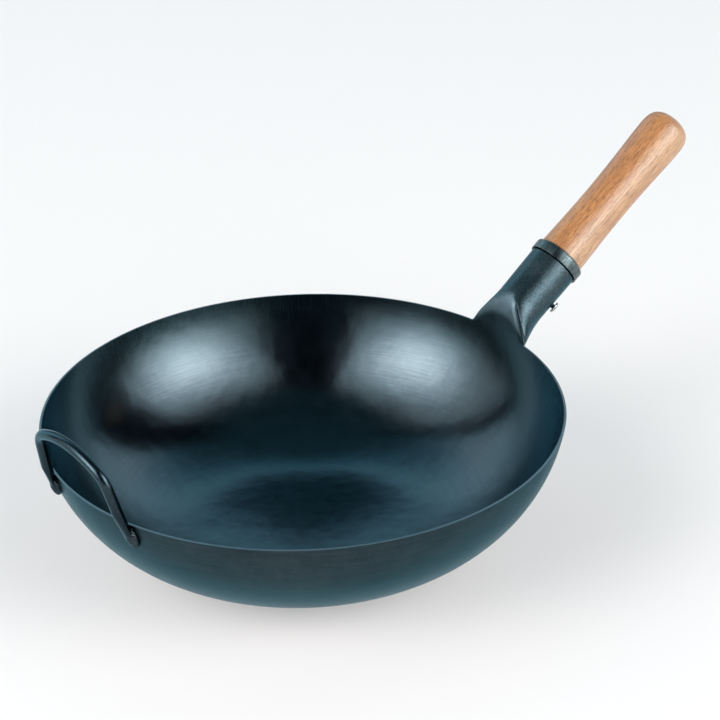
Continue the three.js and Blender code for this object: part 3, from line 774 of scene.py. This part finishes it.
def wall_seat(side, rise):
    """Frame on the wall beside a leg: local Y runs up the leg, local Z away from the wall."""
    point = leg_point(side, rise)
    up = (leg_point(side, LOOP_RISE) - point).normalized()
    slope = math.acos(1 - point.z / WALL_ARC)
    angle = math.atan2(point.y, point.x)
    normal = Vector(around(angle, math.sin(slope), -math.cos(slope)))
    across_leg = up.cross(normal).normalized()
    seat = Matrix((across_leg, up, across_leg.cross(up))).transposed().to_4x4()
    seat.translation = Vector(around(angle, *wall_point(slope, 0)))
    return seat


def bezier(controls, count):
    """Points along the Bezier curve of some controls, its first point left out."""
    share = np.linspace(0, 1, count + 1)[1:, None, None]
    levels = np.broadcast_to(np.array(controls, float), (count, len(controls), len(controls[0])))
    while levels.shape[1] > 1:
        levels = levels[:, :-1] * (1 - share) + levels[:, 1:] * share
    return levels[:, 0]


def rod_path():
    bend_from = LOOP_RISE - LOOP_BEND
    bar_half = LOOP_TOP_HALF_WIDTH - LOOP_BEND
    climb = LOOP_ARCH * (1 - (bar_half / LOOP_TOP_HALF_WIDTH) ** 2)
    bar_rise = LOOP_RISE + climb
    crown = loop_point(0, bar_rise + bar_half * climb / LOOP_BEND)
    first = leg_point(1, -FOOT_BELOW_RIM)
    near, far = loop_point(bar_half, bar_rise), loop_point(-bar_half, bar_rise)
    return np.concatenate([
        [first],
        bezier([first, leg_point(1, bend_from)], LEG_STEPS),
        bezier([leg_point(1, bend_from), leg_point(1, LOOP_RISE), near], BEND_STEPS),
        bezier([near, crown, far], BAR_STEPS),
        bezier([far, leg_point(-1, LOOP_RISE), leg_point(-1, bend_from)], BEND_STEPS),
        bezier([leg_point(-1, bend_from), leg_point(-1, -FOOT_BELOW_RIM)], LEG_STEPS),
    ])


def nodes_group(name, inputs):
    """A Geometry Nodes tree with a geometry in and out, and named inputs besides."""
    group = bpy.data.node_groups.new(name, "GeometryNodeTree")
    group.interface.new_socket("Geometry", in_out="INPUT", socket_type="NodeSocketGeometry")
    for label, kind in inputs:
        group.interface.new_socket(label, in_out="INPUT", socket_type=kind)
    group.interface.new_socket("Geometry", in_out="OUTPUT", socket_type="NodeSocketGeometry")
    return group, add_node(group, "NodeGroupInput").outputs


def end_group(group, geometry, material):
    shaded = add_node(group, "GeometryNodeSetShadeSmooth", {"Geometry": geometry}).outputs[0]
    real = add_node(group, "GeometryNodeRealizeInstances", {"Geometry": shaded}).outputs[0]
    finished = add_node(group, "GeometryNodeSetMaterial", {"Geometry": real, "Material": material}).outputs[0]
    add_node(group, "NodeGroupOutput", {"Geometry": finished})


def grown_object(name, base_mesh, group, values):
    """The plain mesh that a Geometry Nodes tree makes of a base mesh, as a new object."""
    base = bpy.data.objects.new(f"{name}_base", base_mesh)
    scene.collection.objects.link(base)
    modifier = base.modifiers.new("grow", "NODES")
    modifier.node_group = group
    for socket in group.interface.items_tree:
        if socket.in_out == "INPUT" and socket.name in values:
            modifier[socket.identifier] = values[socket.name]
    view = bpy.context.evaluated_depsgraph_get()
    mesh = bpy.data.meshes.new_from_object(base.evaluated_get(view))
    base.modifiers.remove(modifier)
    bpy.data.objects.remove(base)
    mesh.name = name
    made = bpy.data.objects.new(name, mesh)
    scene.collection.objects.link(made)
    return made


bent_rod, given = nodes_group("bent_rod", (
    ("Radius", "NodeSocketFloat"), ("Sides", "NodeSocketInt"), ("Material", "NodeSocketMaterial"),
))
path_curve = add_node(bent_rod, "GeometryNodeMeshToCurve", {"Mesh": given["Geometry"]}).outputs[0]
section = add_node(bent_rod, "GeometryNodeCurvePrimitiveCircle", {
    "Resolution": given["Sides"], "Radius": given["Radius"],
}).outputs[0]
swept = add_node(bent_rod, "GeometryNodeCurveToMesh", {
    "Curve": path_curve, "Profile Curve": section, "Fill Caps": True,
}).outputs[0]
end_group(bent_rod, swept, given["Material"])

ROD_DARK = (0.008, 0.024, 0.034, 1)
ROD_LIGHT = (0.044, 0.064, 0.075, 1)
ROD_LOW_DARK = (0.003, 0.011, 0.017, 1)
LEG_DARK_FROM, LEG_DARK_TO = 0.002, 0.032  # above the rim, over which the legs are made darker towards their feet
LEG_DARK_SHARE = 0.8
ROD_DRAWN = (900.0, 60.0, 900.0)
ROD_BLOTCHES, ROD_GRIT = 700.0, 1800.0
ROD_RELIEF = {"Grit": 0.6, "Lines": 0.5}
ROD_ROUGHNESS = (0.13, 0.23)  # between the blotches and on them
rod_material, tree = new_material("rod_steel")
place = object_place(tree)
finish = finish_node(tree, place, stretched(tree, place, ROD_DRAWN), ROD_BLOTCHES, ROD_GRIT)
color = mix_colors(tree, finish["Blotches"], ROD_DARK, ROD_LIGHT)
rise = add_node(tree, "ShaderNodeSeparateXYZ", {0: place}).outputs["Z"]
# The legs are made darker towards their feet, near the rim.
darker_low = map_range(tree, rise, rim_height + LEG_DARK_TO, rim_height + LEG_DARK_FROM, 0.0, LEG_DARK_SHARE)
relief = layered(tree, 0.0, ROD_RELIEF, finish)
end_material(tree, "ShaderNodeBsdfPrincipled", {
    "Base Color": mix_colors(tree, darker_low, color, ROD_LOW_DARK), "Metallic": 0.95, "Specular Tint": STEEL_GRAZE,
    "Normal": bumped(tree, relief, strength=0.18, unit=RELIEF_UNIT),
    "Roughness": map_range(tree, finish["Blotches"], 0.0, 1.0, *ROD_ROUGHNESS),
    "Coat Weight": 0.2, "Coat Roughness": 0.08, "Coat IOR": 1.5,
})

path_points = rod_path()
path_mesh = bpy.data.meshes.new("rod_path")
path_steps = [(i, i + 1) for i in range(len(path_points) - 1)]
path_mesh.from_pydata([tuple(point) for point in path_points], path_steps, [])
helper_rod = grown_object("helper_rod", path_mesh, bent_rod, {
    "Radius": ROD_RADIUS, "Sides": ROD_SIDES, "Material": rod_material,
})
foot_slant = math.atan(2 * ROD_RADIUS / FOOT_TAPER)
for side in (1, -1):
    seat = wall_seat(side, FOOT_TAPER / 2 - FOOT_BELOW_RIM)
    cut_way = seat.to_3x3() @ Vector((0, -math.sin(foot_slant), math.cos(foot_slant)))
    cut_at = seat @ Vector((0, 0, ROD_RADIUS + CLEARANCE))
    for vertex in helper_rod.data.vertices:
        beyond = (vertex.co - cut_at).dot(cut_way)
        if beyond > 0 and vertex.co.y * side > LOOP_TOP_HALF_WIDTH - LOOP_BEND:
            vertex.co -= (1 - FOOT_CROWN) * beyond * cut_way
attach(helper_rod, "root")
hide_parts("helper_handle")

# Weld beads: one over each foot of the loop, laid in overlapping pools that leave curved ripples, and
# running out down the wall. The weld metal is left dark from the heat, with painted shade between ripples.
WELD_BELOW_RIM = 0.008
WELD_TAIL = 0.0102
WELD_HEAD = 0.007
WELD_HALF_WIDTH = 0.005
WELD_HEIGHT = 0.0042
WELD_POINT = 1.4  # above 1 draws the tail to a point
WELD_SINK = 0.0006  # depth of its underside in the wall
WELD_FREE = 3  # the ripples reach their full height one part in so many up its sides
WELD_ROWS = 96
WELD_COLUMNS = 64
RIPPLE_SPACING = 0.0017
RIPPLE_HEIGHT = 0.0005
RIPPLE_BOW = 170.0  # how far a ripple's sides trail, per metre of half width squared
LUMP_HEIGHT = 0.0005
LUMPS = 420.0


def point_value(group, name):
    return add_node(group, "GeometryNodeInputNamedAttribute", {"Name": name}, data_type="FLOAT").outputs[0]


ripples, given = nodes_group("weld_ripples", (
    ("Spacing", "NodeSocketFloat"), ("Height", "NodeSocketFloat"), ("Lump Height", "NodeSocketFloat"),
    ("Lumps", "NodeSocketFloat"), ("Material", "NodeSocketMaterial"),
))
pools = math_node(ripples, "DIVIDE", point_value(ripples, "run"), given["Spacing"])
wave = math_node(ripples, "SINE", math_node(ripples, "MULTIPLY", pools, math.pi))
wave = math_node(ripples, "ABSOLUTE", wave)
ripple = math_node(ripples, "MULTIPLY", wave, given["Height"])
lump = noise(ripples, add_node(ripples, "GeometryNodeInputPosition").outputs[0], given["Lumps"])
lump = math_node(ripples, "MULTIPLY", math_node(ripples, "SUBTRACT", lump, 0.5), given["Lump Height"])
rise = math_node(ripples, "ADD", ripple, lump)
rise = math_node(ripples, "MULTIPLY", rise, point_value(ripples, "free"))
normal = add_node(ripples, "GeometryNodeInputNormal").outputs[0]
shift = add_node(ripples, "ShaderNodeVectorMath", {0: normal, "Scale": rise}, operation="SCALE").outputs[0]
rippled = add_node(ripples, "GeometryNodeSetPosition", {
    "Geometry": given["Geometry"], "Offset": shift,
}).outputs[0]
marked = add_node(ripples, "GeometryNodeStoreNamedAttribute", {
    "Geometry": rippled, "Name": "crest", "Value": wave,
}, data_type="FLOAT", domain="POINT").outputs[0]
end_group(ripples, marked, given["Material"])

WELD_DARK = (0.006, 0.015, 0.022, 1)
WELD_LIGHT = (0.060, 0.088, 0.102, 1)
WELD_GRAIN = (700.0, 700.0, 700.0)
WELD_BLOTCHES, WELD_GRIT = 300.0, 2400.0
WELD_ROUGHNESS = (0.10, 0.24)
RIPPLE_SHADE_FADE = (0.25, 0.75)  # from and to these heights of a ripple the painted shade in its valleys fades out
weld_material, tree = new_material("weld_steel")
place = object_place(tree)
finish = finish_node(tree, place, stretched(tree, place, WELD_GRAIN), WELD_BLOTCHES, WELD_GRIT)
color = mix_colors(tree, finish["Blotches"], WELD_DARK, WELD_LIGHT)
# Painted shade in the valleys between the ripples, which fades out over their crests.
ripple_unshaded = map_range(tree, mark(tree, "crest"), *RIPPLE_SHADE_FADE)
end_material(tree, "ShaderNodeBsdfPrincipled", {
    "Base Color": mix_colors(tree, ripple_unshaded, PAINTED_SHADE, color), "Metallic": 0.95, "Specular Tint": STEEL_GRAZE,
    "Normal": bumped(tree, finish["Grit"], strength=0.2, unit=2 * RELIEF_UNIT),
    "Roughness": map_range(tree, finish["Lines"], 0.0, 1.0, *WELD_ROUGHNESS),
    "Coat Weight": 0.2, "Coat Roughness": 0.1,
})


def ring_faces(rings, sides, closed=False):
    """Faces of rings of points along an axis. The last ring of a closed row meets the first, and an open
    row ends in two single points, which come after the rings: one before the first, one past the last."""
    faces = []
    for row in range(rings if closed else rings - 1):
        low, high = row * sides, (row + 1) % rings * sides
        for i in range(sides):
            j = (i + 1) % sides
            faces.append((low + i, low + j, high + j, high + i))
    if not closed:
        first, last, top = rings * sides, rings * sides + 1, (rings - 1) * sides
        for i in range(sides):
            j = (i + 1) % sides
            faces.append((first, j, i))
            faces.append((last, top + i, top + j))
    return faces


def weld_base(side):
    """The bead before its ripples: a closed egg on the wall, with each point's way along it."""
    seat = wall_seat(side, -WELD_BELOW_RIM)
    vertices, run, free = [], [], []
    for row in range(1, WELD_ROWS):
        bend = math.pi * (row / WELD_ROWS - 0.5)
        y = math.sin(bend) * (WELD_TAIL if bend < 0 else WELD_HEAD)
        thin = math.cos(bend) ** (WELD_POINT if bend < 0 else 1)
        for column in range(WELD_COLUMNS):
            turn = -math.tau * column / WELD_COLUMNS
            x = WELD_HALF_WIDTH * thin * math.cos(turn)
            z = WELD_HEIGHT * thin * math.sin(turn)
            vertices.append(seat @ Vector((x, y, max(z, -WELD_SINK))))
            run.append(y + RIPPLE_BOW * x * x)
            free.append(min(1, max(0, WELD_FREE * z / WELD_HEIGHT)))
    for y in (-WELD_TAIL, WELD_HEAD):
        vertices.append(seat @ Vector((0, y, 0)))
        run.append(y)
        free.append(0)
    mesh = bpy.data.meshes.new("weld_base")
    mesh.from_pydata(vertices, [], ring_faces(WELD_ROWS - 1, WELD_COLUMNS))
    for name, values in (("run", run), ("free", free)):
        mesh.attributes.new(name, "FLOAT", "POINT").data.foreach_set("value", values)
    return mesh


for name, side in (("left", 1), ("right", -1)):
    bead = grown_object(f"weld_bead_{name}", weld_base(side), ripples, {
        "Spacing": RIPPLE_SPACING, "Height": RIPPLE_HEIGHT, "Lump Height": LUMP_HEIGHT, "Lumps": LUMPS,
        "Material": weld_material,
    })
    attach(bead, "root")
    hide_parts(f"helper_weld_{name}")

# Grip: turned beech with a tapered tenon that is driven into the socket, a shoulder on the socket's
# mouth, a slight waist and a rounded end. It is sanded and has a thin satin varnish.
GRIP_SHOULDER_RADIUS = 0.0164
GRIP_WAIST_RADIUS = 0.0153
GRIP_BULB_RADIUS = 0.0168
GRIP_LENGTH = 0.1277
GRIP_WAIST_AT = 0.052
GRIP_END_ROUND = 0.015
GRIP_END_FULLNESS = 0.75
TENON_LENGTH = 0.035
TENON_CHAMFER = 0.0015
GRIP_SIDES = 128
WAIST_STEPS, BULB_STEPS, END_STEPS = 24, 30, 28


def turned_object(name, profile, sides, material, closed):
    """A profile of (station, radius) points turned about the handle's axis; a closed one is a ring."""
    turns = np.linspace(0, math.tau, sides, endpoint=False)
    rings = profile if closed else profile[1:-1]
    points = [
        np.stack([np.full(sides, station), radius * np.sin(turns), radius * np.cos(turns)], -1)
        for station, radius in rings
    ]
    if not closed:
        points.append([(profile[0][0], 0, 0), (profile[-1][0], 0, 0)])
    faces = ring_faces(len(rings), sides, closed)
    return new_object(name, on_handle(np.concatenate(points)), faces, material)


def grip_profile():
    def bore(station):
        return float(socket_radius(station)) - SHEET - CLEARANCE

    tenon_end = mouth_at - TENON_LENGTH
    shoulder = mouth_at + CLEARANCE
    waist_at = mouth_at + GRIP_WAIST_AT
    end = mouth_at + GRIP_LENGTH
    bulb_at = end - GRIP_END_ROUND
    to_waist, to_bulb = (waist_at - shoulder) / 2, (bulb_at - waist_at) / 2
    root, waist, bulb = GRIP_SHOULDER_RADIUS, GRIP_WAIST_RADIUS, GRIP_BULB_RADIUS
    start, narrow, wide = (shoulder, root), (waist_at, waist), (bulb_at, bulb)
    full = GRIP_END_FULLNESS
    return [
        (tenon_end, 0),
        (tenon_end, bore(tenon_end) - TENON_CHAMFER),
        (tenon_end + TENON_CHAMFER, bore(tenon_end)),
        (shoulder, bore(mouth_at)),
        start,
        *bezier([start, (shoulder + to_waist / 2, root), (waist_at - to_waist, waist), narrow], WAIST_STEPS),
        *bezier([narrow, (waist_at + to_bulb, waist), (bulb_at - to_bulb / 2, bulb), wide], BULB_STEPS),
        *bezier([wide, (bulb_at + full * GRIP_END_ROUND, bulb), (end, full * bulb), (end, 0)], END_STEPS),
    ]


BEECH_LIGHT = (0.56, 0.245, 0.080, 1)
BEECH_DARK = (0.42, 0.155, 0.042, 1)
BEECH_FLECK = (0.16, 0.050, 0.016, 1)
# Painted shade for the wood next to the collar.
BEECH_PAINTED_SHADE = (0.020, 0.010, 0.006, 1)
# Painted highlight: a paler colour put on one side of the grip, where the softbox's sheen falls.
BEECH_PAINTED_HIGHLIGHT = (0.60, 0.36, 0.195, 1)
COLLAR_LIP = 0.0015
COLLAR_SHADE_LENGTH = 0.0014  # of painted shade on the wood, past the collar's front
HIGHLIGHT_TURN = math.radians(-78)  # round the handle, to the side of the painted highlight
HIGHLIGHT_SIDE = (0.0, math.sin(HIGHLIGHT_TURN), math.cos(HIGHLIGHT_TURN))
HIGHLIGHT_FROM, HIGHLIGHT_TO = 0.0110, 0.0150  # from the handle's axis
HIGHLIGHT_SHARE = 0.8
HIGHLIGHT_WANDER = 0.006  # of the painted highlight's border, with the wood's tone
# The wood's patterns, per metre along the grip and across it.
SWAY = (14.0, 60.0, 60.0)
BANDS = (9.0, 260.0, 260.0)
FLECKS = (220.0, 1700.0, 1700.0)
FIBRES = (50.0, 1900.0, 1900.0)
BEECH_TONE = {"sway": 0.5, "bands": 0.6}
BEECH_TONES = (0.40, 0.68)  # the tones of its light and its dark wood
BEECH_RELIEF = {"flecks": -1.0, "fibres": 0.4}
BEECH_ROUGHNESS = (0.48, 0.68)  # between the flecks and on them
FLECK_SHARES = (0.75, 0.42)  # away from the painted highlight and on it
FIBRES_SEEN = (0.42, 0.66, 0.0, 0.62)  # from and to these levels, and none to this share
wood_material, tree = new_material("beech")
on_axis = along_handle(tree, object_place(tree))
grains = {
    "sway": noise(tree, stretched(tree, on_axis, SWAY), 1.0),
    "bands": noise(tree, stretched(tree, on_axis, BANDS), 1.0, detail=4.0, roughness=0.6),
    "flecks": noise(tree, stretched(tree, on_axis, FLECKS), 1.0, detail=1.0, between=(0.56, 0.66)),
    "fibres": noise(tree, stretched(tree, on_axis, FIBRES), 1.0),
}
tone = layered(tree, 0.0, BEECH_TONE, grains)
color = mix_colors(tree, map_range(tree, tone, *BEECH_TONES), BEECH_LIGHT, BEECH_DARK)
# Painted highlight: one side of the grip is made paler, with fewer flecks on it.
aside = add_node(tree, "ShaderNodeVectorMath", {0: on_axis, 1: HIGHLIGHT_SIDE}, operation="DOT_PRODUCT")
aside = math_node(tree, "ADD", aside.outputs["Value"], HIGHLIGHT_WANDER / 2)
aside = math_node(tree, "MULTIPLY_ADD", tone, -HIGHLIGHT_WANDER, aside)
color = mix_colors(tree, map_range(tree, aside, HIGHLIGHT_FROM, HIGHLIGHT_TO, 0.0, HIGHLIGHT_SHARE), color, BEECH_PAINTED_HIGHLIGHT)
fleck_share = map_range(tree, aside, HIGHLIGHT_FROM, HIGHLIGHT_TO, *FLECK_SHARES)
color = mix_colors(tree, math_node(tree, "MULTIPLY", grains["flecks"], fleck_share), color, BEECH_FLECK)
color = mix_colors(tree, map_range(tree, grains["fibres"], *FIBRES_SEEN), color, BEECH_FLECK)
station = add_node(tree, "ShaderNodeSeparateXYZ", {0: on_axis}).outputs["X"]
collar_front = mouth_at + CLEARANCE + COLLAR_LIP
# Painted shade: a thin dark ring on the wood just in front of the collar.
collar_shade = map_range(tree, station, collar_front + COLLAR_SHADE_LENGTH, collar_front + COLLAR_SHADE_LENGTH / 2)
relief = layered(tree, 0.0, BEECH_RELIEF, grains)
end_material(tree, "ShaderNodeBsdfPrincipled", {
    "Base Color": mix_colors(tree, collar_shade, color, BEECH_PAINTED_SHADE),
    "Normal": bumped(tree, relief, strength=0.35, unit=RELIEF_UNIT),
    "Roughness": map_range(tree, grains["flecks"], 0.0, 1.0, *BEECH_ROUGHNESS),
    "Coat Weight": 1.0, "Coat Roughness": 0.36, "Coat IOR": 1.5,
})

grip = turned_object("beech_grip", grip_profile(), GRIP_SIDES, wood_material, closed=False)
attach(grip, "root")
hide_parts("handle_grip")

# Collar: a thin steel band pressed over the socket's mouth, with its front edge rolled in to the wood.
# Its back edge stands a little off the socket and leaves a dark gap.
COLLAR_WALL = 0.0009
COLLAR_EDGE_ROUND = 0.0012
LIP_GAP = 0.0006
COLLAR_BACK_WALL = 0.0002
COLLAR_RELIEF = 0.0045
COLLAR_SIDES = 160
COLLAR_BACK_STEPS, COLLAR_FRONT_STEPS = 6, 10


def collar_profile():
    bore = SOCKET_MOUTH_RADIUS + CLEARANCE
    outer = bore + COLLAR_WALL
    lip = GRIP_SHOULDER_RADIUS + LIP_GAP
    back = mouth_at - COLLAR_OVERLAP
    inside = mouth_at + CLEARANCE
    front = inside + COLLAR_LIP
    thin = outer - COLLAR_BACK_WALL
    round_from, round_to = (front - COLLAR_EDGE_ROUND, outer), (front, outer - COLLAR_EDGE_ROUND)
    soft = COLLAR_BACK_WALL / 2
    return [
        *bezier([(back, thin), (back, outer - soft), (back, outer), (back + soft, outer)], COLLAR_BACK_STEPS),
        (front - 2 * COLLAR_EDGE_ROUND, outer),
        round_from,
        *bezier([round_from, (front, outer), round_to], COLLAR_FRONT_STEPS),
        (front, lip),
        (inside, lip),
        (inside, bore),
        (back + COLLAR_RELIEF, bore),
        (back + COLLAR_RELIEF, thin),
        (back, thin),
    ]


COLLAR_DARK = (0.008, 0.018, 0.022, 1)
COLLAR_LIGHT = (0.165, 0.210, 0.215, 1)
COLLAR_ROLLED = (150.0, 1000.0, 1000.0)
COLLAR_BLOTCHES, COLLAR_GRIT = 130.0, 2200.0
COLLAR_TONE = {"Blotches": 0.25, "Lines": 0.75}
COLLAR_GRAIN = {"Grit": 0.3, "Lines": 0.8}
COLLAR_ROUGHNESS = (0.24, 0.36)
collar_material, tree = new_material("collar_steel")
place = object_place(tree)
rolled = stretched(tree, along_handle(tree, place), COLLAR_ROLLED)
finish = finish_node(tree, place, rolled, COLLAR_BLOTCHES, COLLAR_GRIT)
relief = layered(tree, 0.0, COLLAR_GRAIN, finish)
end_material(tree, "ShaderNodeBsdfPrincipled", {
    "Base Color": mix_colors(tree, layered(tree, 0.0, COLLAR_TONE, finish), COLLAR_DARK, COLLAR_LIGHT),
    "Metallic": 0.95, "Normal": bumped(tree, relief, strength=0.35, unit=RELIEF_UNIT),
    "Roughness": map_range(tree, finish["Blotches"], 0.0, 1.0, *COLLAR_ROUGHNESS),
    "Coat Weight": 0.2, "Coat Roughness": 0.2,
})

collar = turned_object("socket_collar", collar_profile(), COLLAR_SIDES, collar_material, closed=True)
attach(collar, "root")
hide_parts("handle_collar")

# Screw: zinc-plated, driven through the socket into the tenon beside the seam. Its pan head has a cross
# recess and stands just off the tube.
SCREW_STATION = NECK_LENGTH + 0.012
SCREW_TURN = math.radians(-135)
SCREW_SHANK_RADIUS = 0.0020
SCREW_ROOT_RADIUS = 0.0016
SCREW_PITCH = 0.0014
SCREW_HEAD_RADIUS = 0.0040
SCREW_HEAD_HEIGHT = 0.0022
SCREW_HEAD_EDGE = 0.0006
SCREW_HEAD_CHAMFER = 0.0002
SCREW_STAND_OFF = 0.0014
SCREW_LENGTH = 0.013
SCREW_POINT = 0.003
RECESS_REACH = 0.0023
RECESS_HALF_WIDTH = 0.00045
RECESS_DEPTH = 0.0011
RECESS_STEEP = 3  # how steep its sides are
RECESS_RUN = 2  # and its ends
SCREW_SIDES = 96
SHANK_RINGS, DOME_RINGS = 120, 44

seat_radius = float(socket_radius(SCREW_STATION))
seat_point = Vector((SCREW_STATION, seat_radius * math.sin(SCREW_TURN), seat_radius * math.cos(SCREW_TURN)))
screw_seat = handle_place @ Matrix.Translation(seat_point) @ Matrix.Rotation(-SCREW_TURN, 4, "X")


def screw_mesh():
    """Rings from the point up the threaded shank, out under the head and in over its recessed dome."""
    top = SCREW_STAND_OFF + SCREW_HEAD_HEIGHT
    edge = SCREW_STAND_OFF + SCREW_HEAD_EDGE
    turns = np.linspace(0, math.tau, SCREW_SIDES, endpoint=False)
    rings = []
    for height in np.linspace(-SCREW_LENGTH, -SHEET, SHANK_RINGS)[1:]:
        thread = np.abs(((height / SCREW_PITCH - turns / math.tau) % 1) * 2 - 1)
        radius = SCREW_ROOT_RADIUS + (SCREW_SHANK_RADIUS - SCREW_ROOT_RADIUS) * thread
        radius = radius * min(1, (height + SCREW_LENGTH) / SCREW_POINT)
        rings.append((radius, np.full(SCREW_SIDES, height)))
    shank = np.full(SCREW_SIDES, SCREW_ROOT_RADIUS)
    rings.append((shank, np.full(SCREW_SIDES, SCREW_STAND_OFF)))
    under_head = np.full(SCREW_SIDES, SCREW_HEAD_RADIUS - SCREW_HEAD_CHAMFER)
    rings.append((under_head, np.full(SCREW_SIDES, SCREW_STAND_OFF)))
    for share in np.linspace(0, 1, DOME_RINGS)[:-1]:
        bend = share * math.pi / 2
        radius = np.full(SCREW_SIDES, SCREW_HEAD_RADIUS * math.cos(bend))
        height = edge + (top - edge) * np.sin(bend)
        u, v = np.abs(radius * np.cos(turns)), np.abs(radius * np.sin(turns))
        slot = np.minimum(np.minimum(u, v) - RECESS_HALF_WIDTH, 0) / -RECESS_HALF_WIDTH
        taper = np.clip((RECESS_REACH - np.maximum(u, v)) / RECESS_REACH * RECESS_RUN, 0, 1)
        rings.append((radius, height - RECESS_DEPTH * np.clip(slot * RECESS_STEEP, 0, 1) * taper))
    points = [np.stack([r * np.cos(turns), r * np.sin(turns), h], -1) for r, h in rings]
    points = np.concatenate([*points, [(0, 0, -SCREW_LENGTH), (0, 0, top - RECESS_DEPTH)]])
    turn = np.array(screw_seat.to_3x3())
    return points @ turn.T + np.array(screw_seat.translation), ring_faces(len(rings), SCREW_SIDES)


ZINC_DARK = (0.30, 0.32, 0.33, 1)
ZINC_LIGHT = (0.68, 0.70, 0.71, 1)
ZINC_DRAWN = (2500.0, 2500.0, 600.0)
ZINC_BLOTCHES, ZINC_GRIT = 500.0, 5000.0
ZINC_ROUGHNESS = (0.15, 0.30)
screw_material, tree = new_material("screw_steel")
place = object_place(tree)
finish = finish_node(tree, place, stretched(tree, place, ZINC_DRAWN), ZINC_BLOTCHES, ZINC_GRIT)
end_material(tree, "ShaderNodeBsdfPrincipled", {
    "Base Color": mix_colors(tree, finish["Blotches"], ZINC_DARK, ZINC_LIGHT), "Metallic": 1.0,
    "Normal": bumped(tree, finish["Grit"], strength=0.2, unit=RELIEF_UNIT / 2),
    "Roughness": map_range(tree, finish["Lines"], 0.0, 1.0, *ZINC_ROUGHNESS),
})

screw = new_object("handle_screw_zinc", *screw_mesh(), screw_material)
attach(screw, "root")
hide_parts("handle_screw")
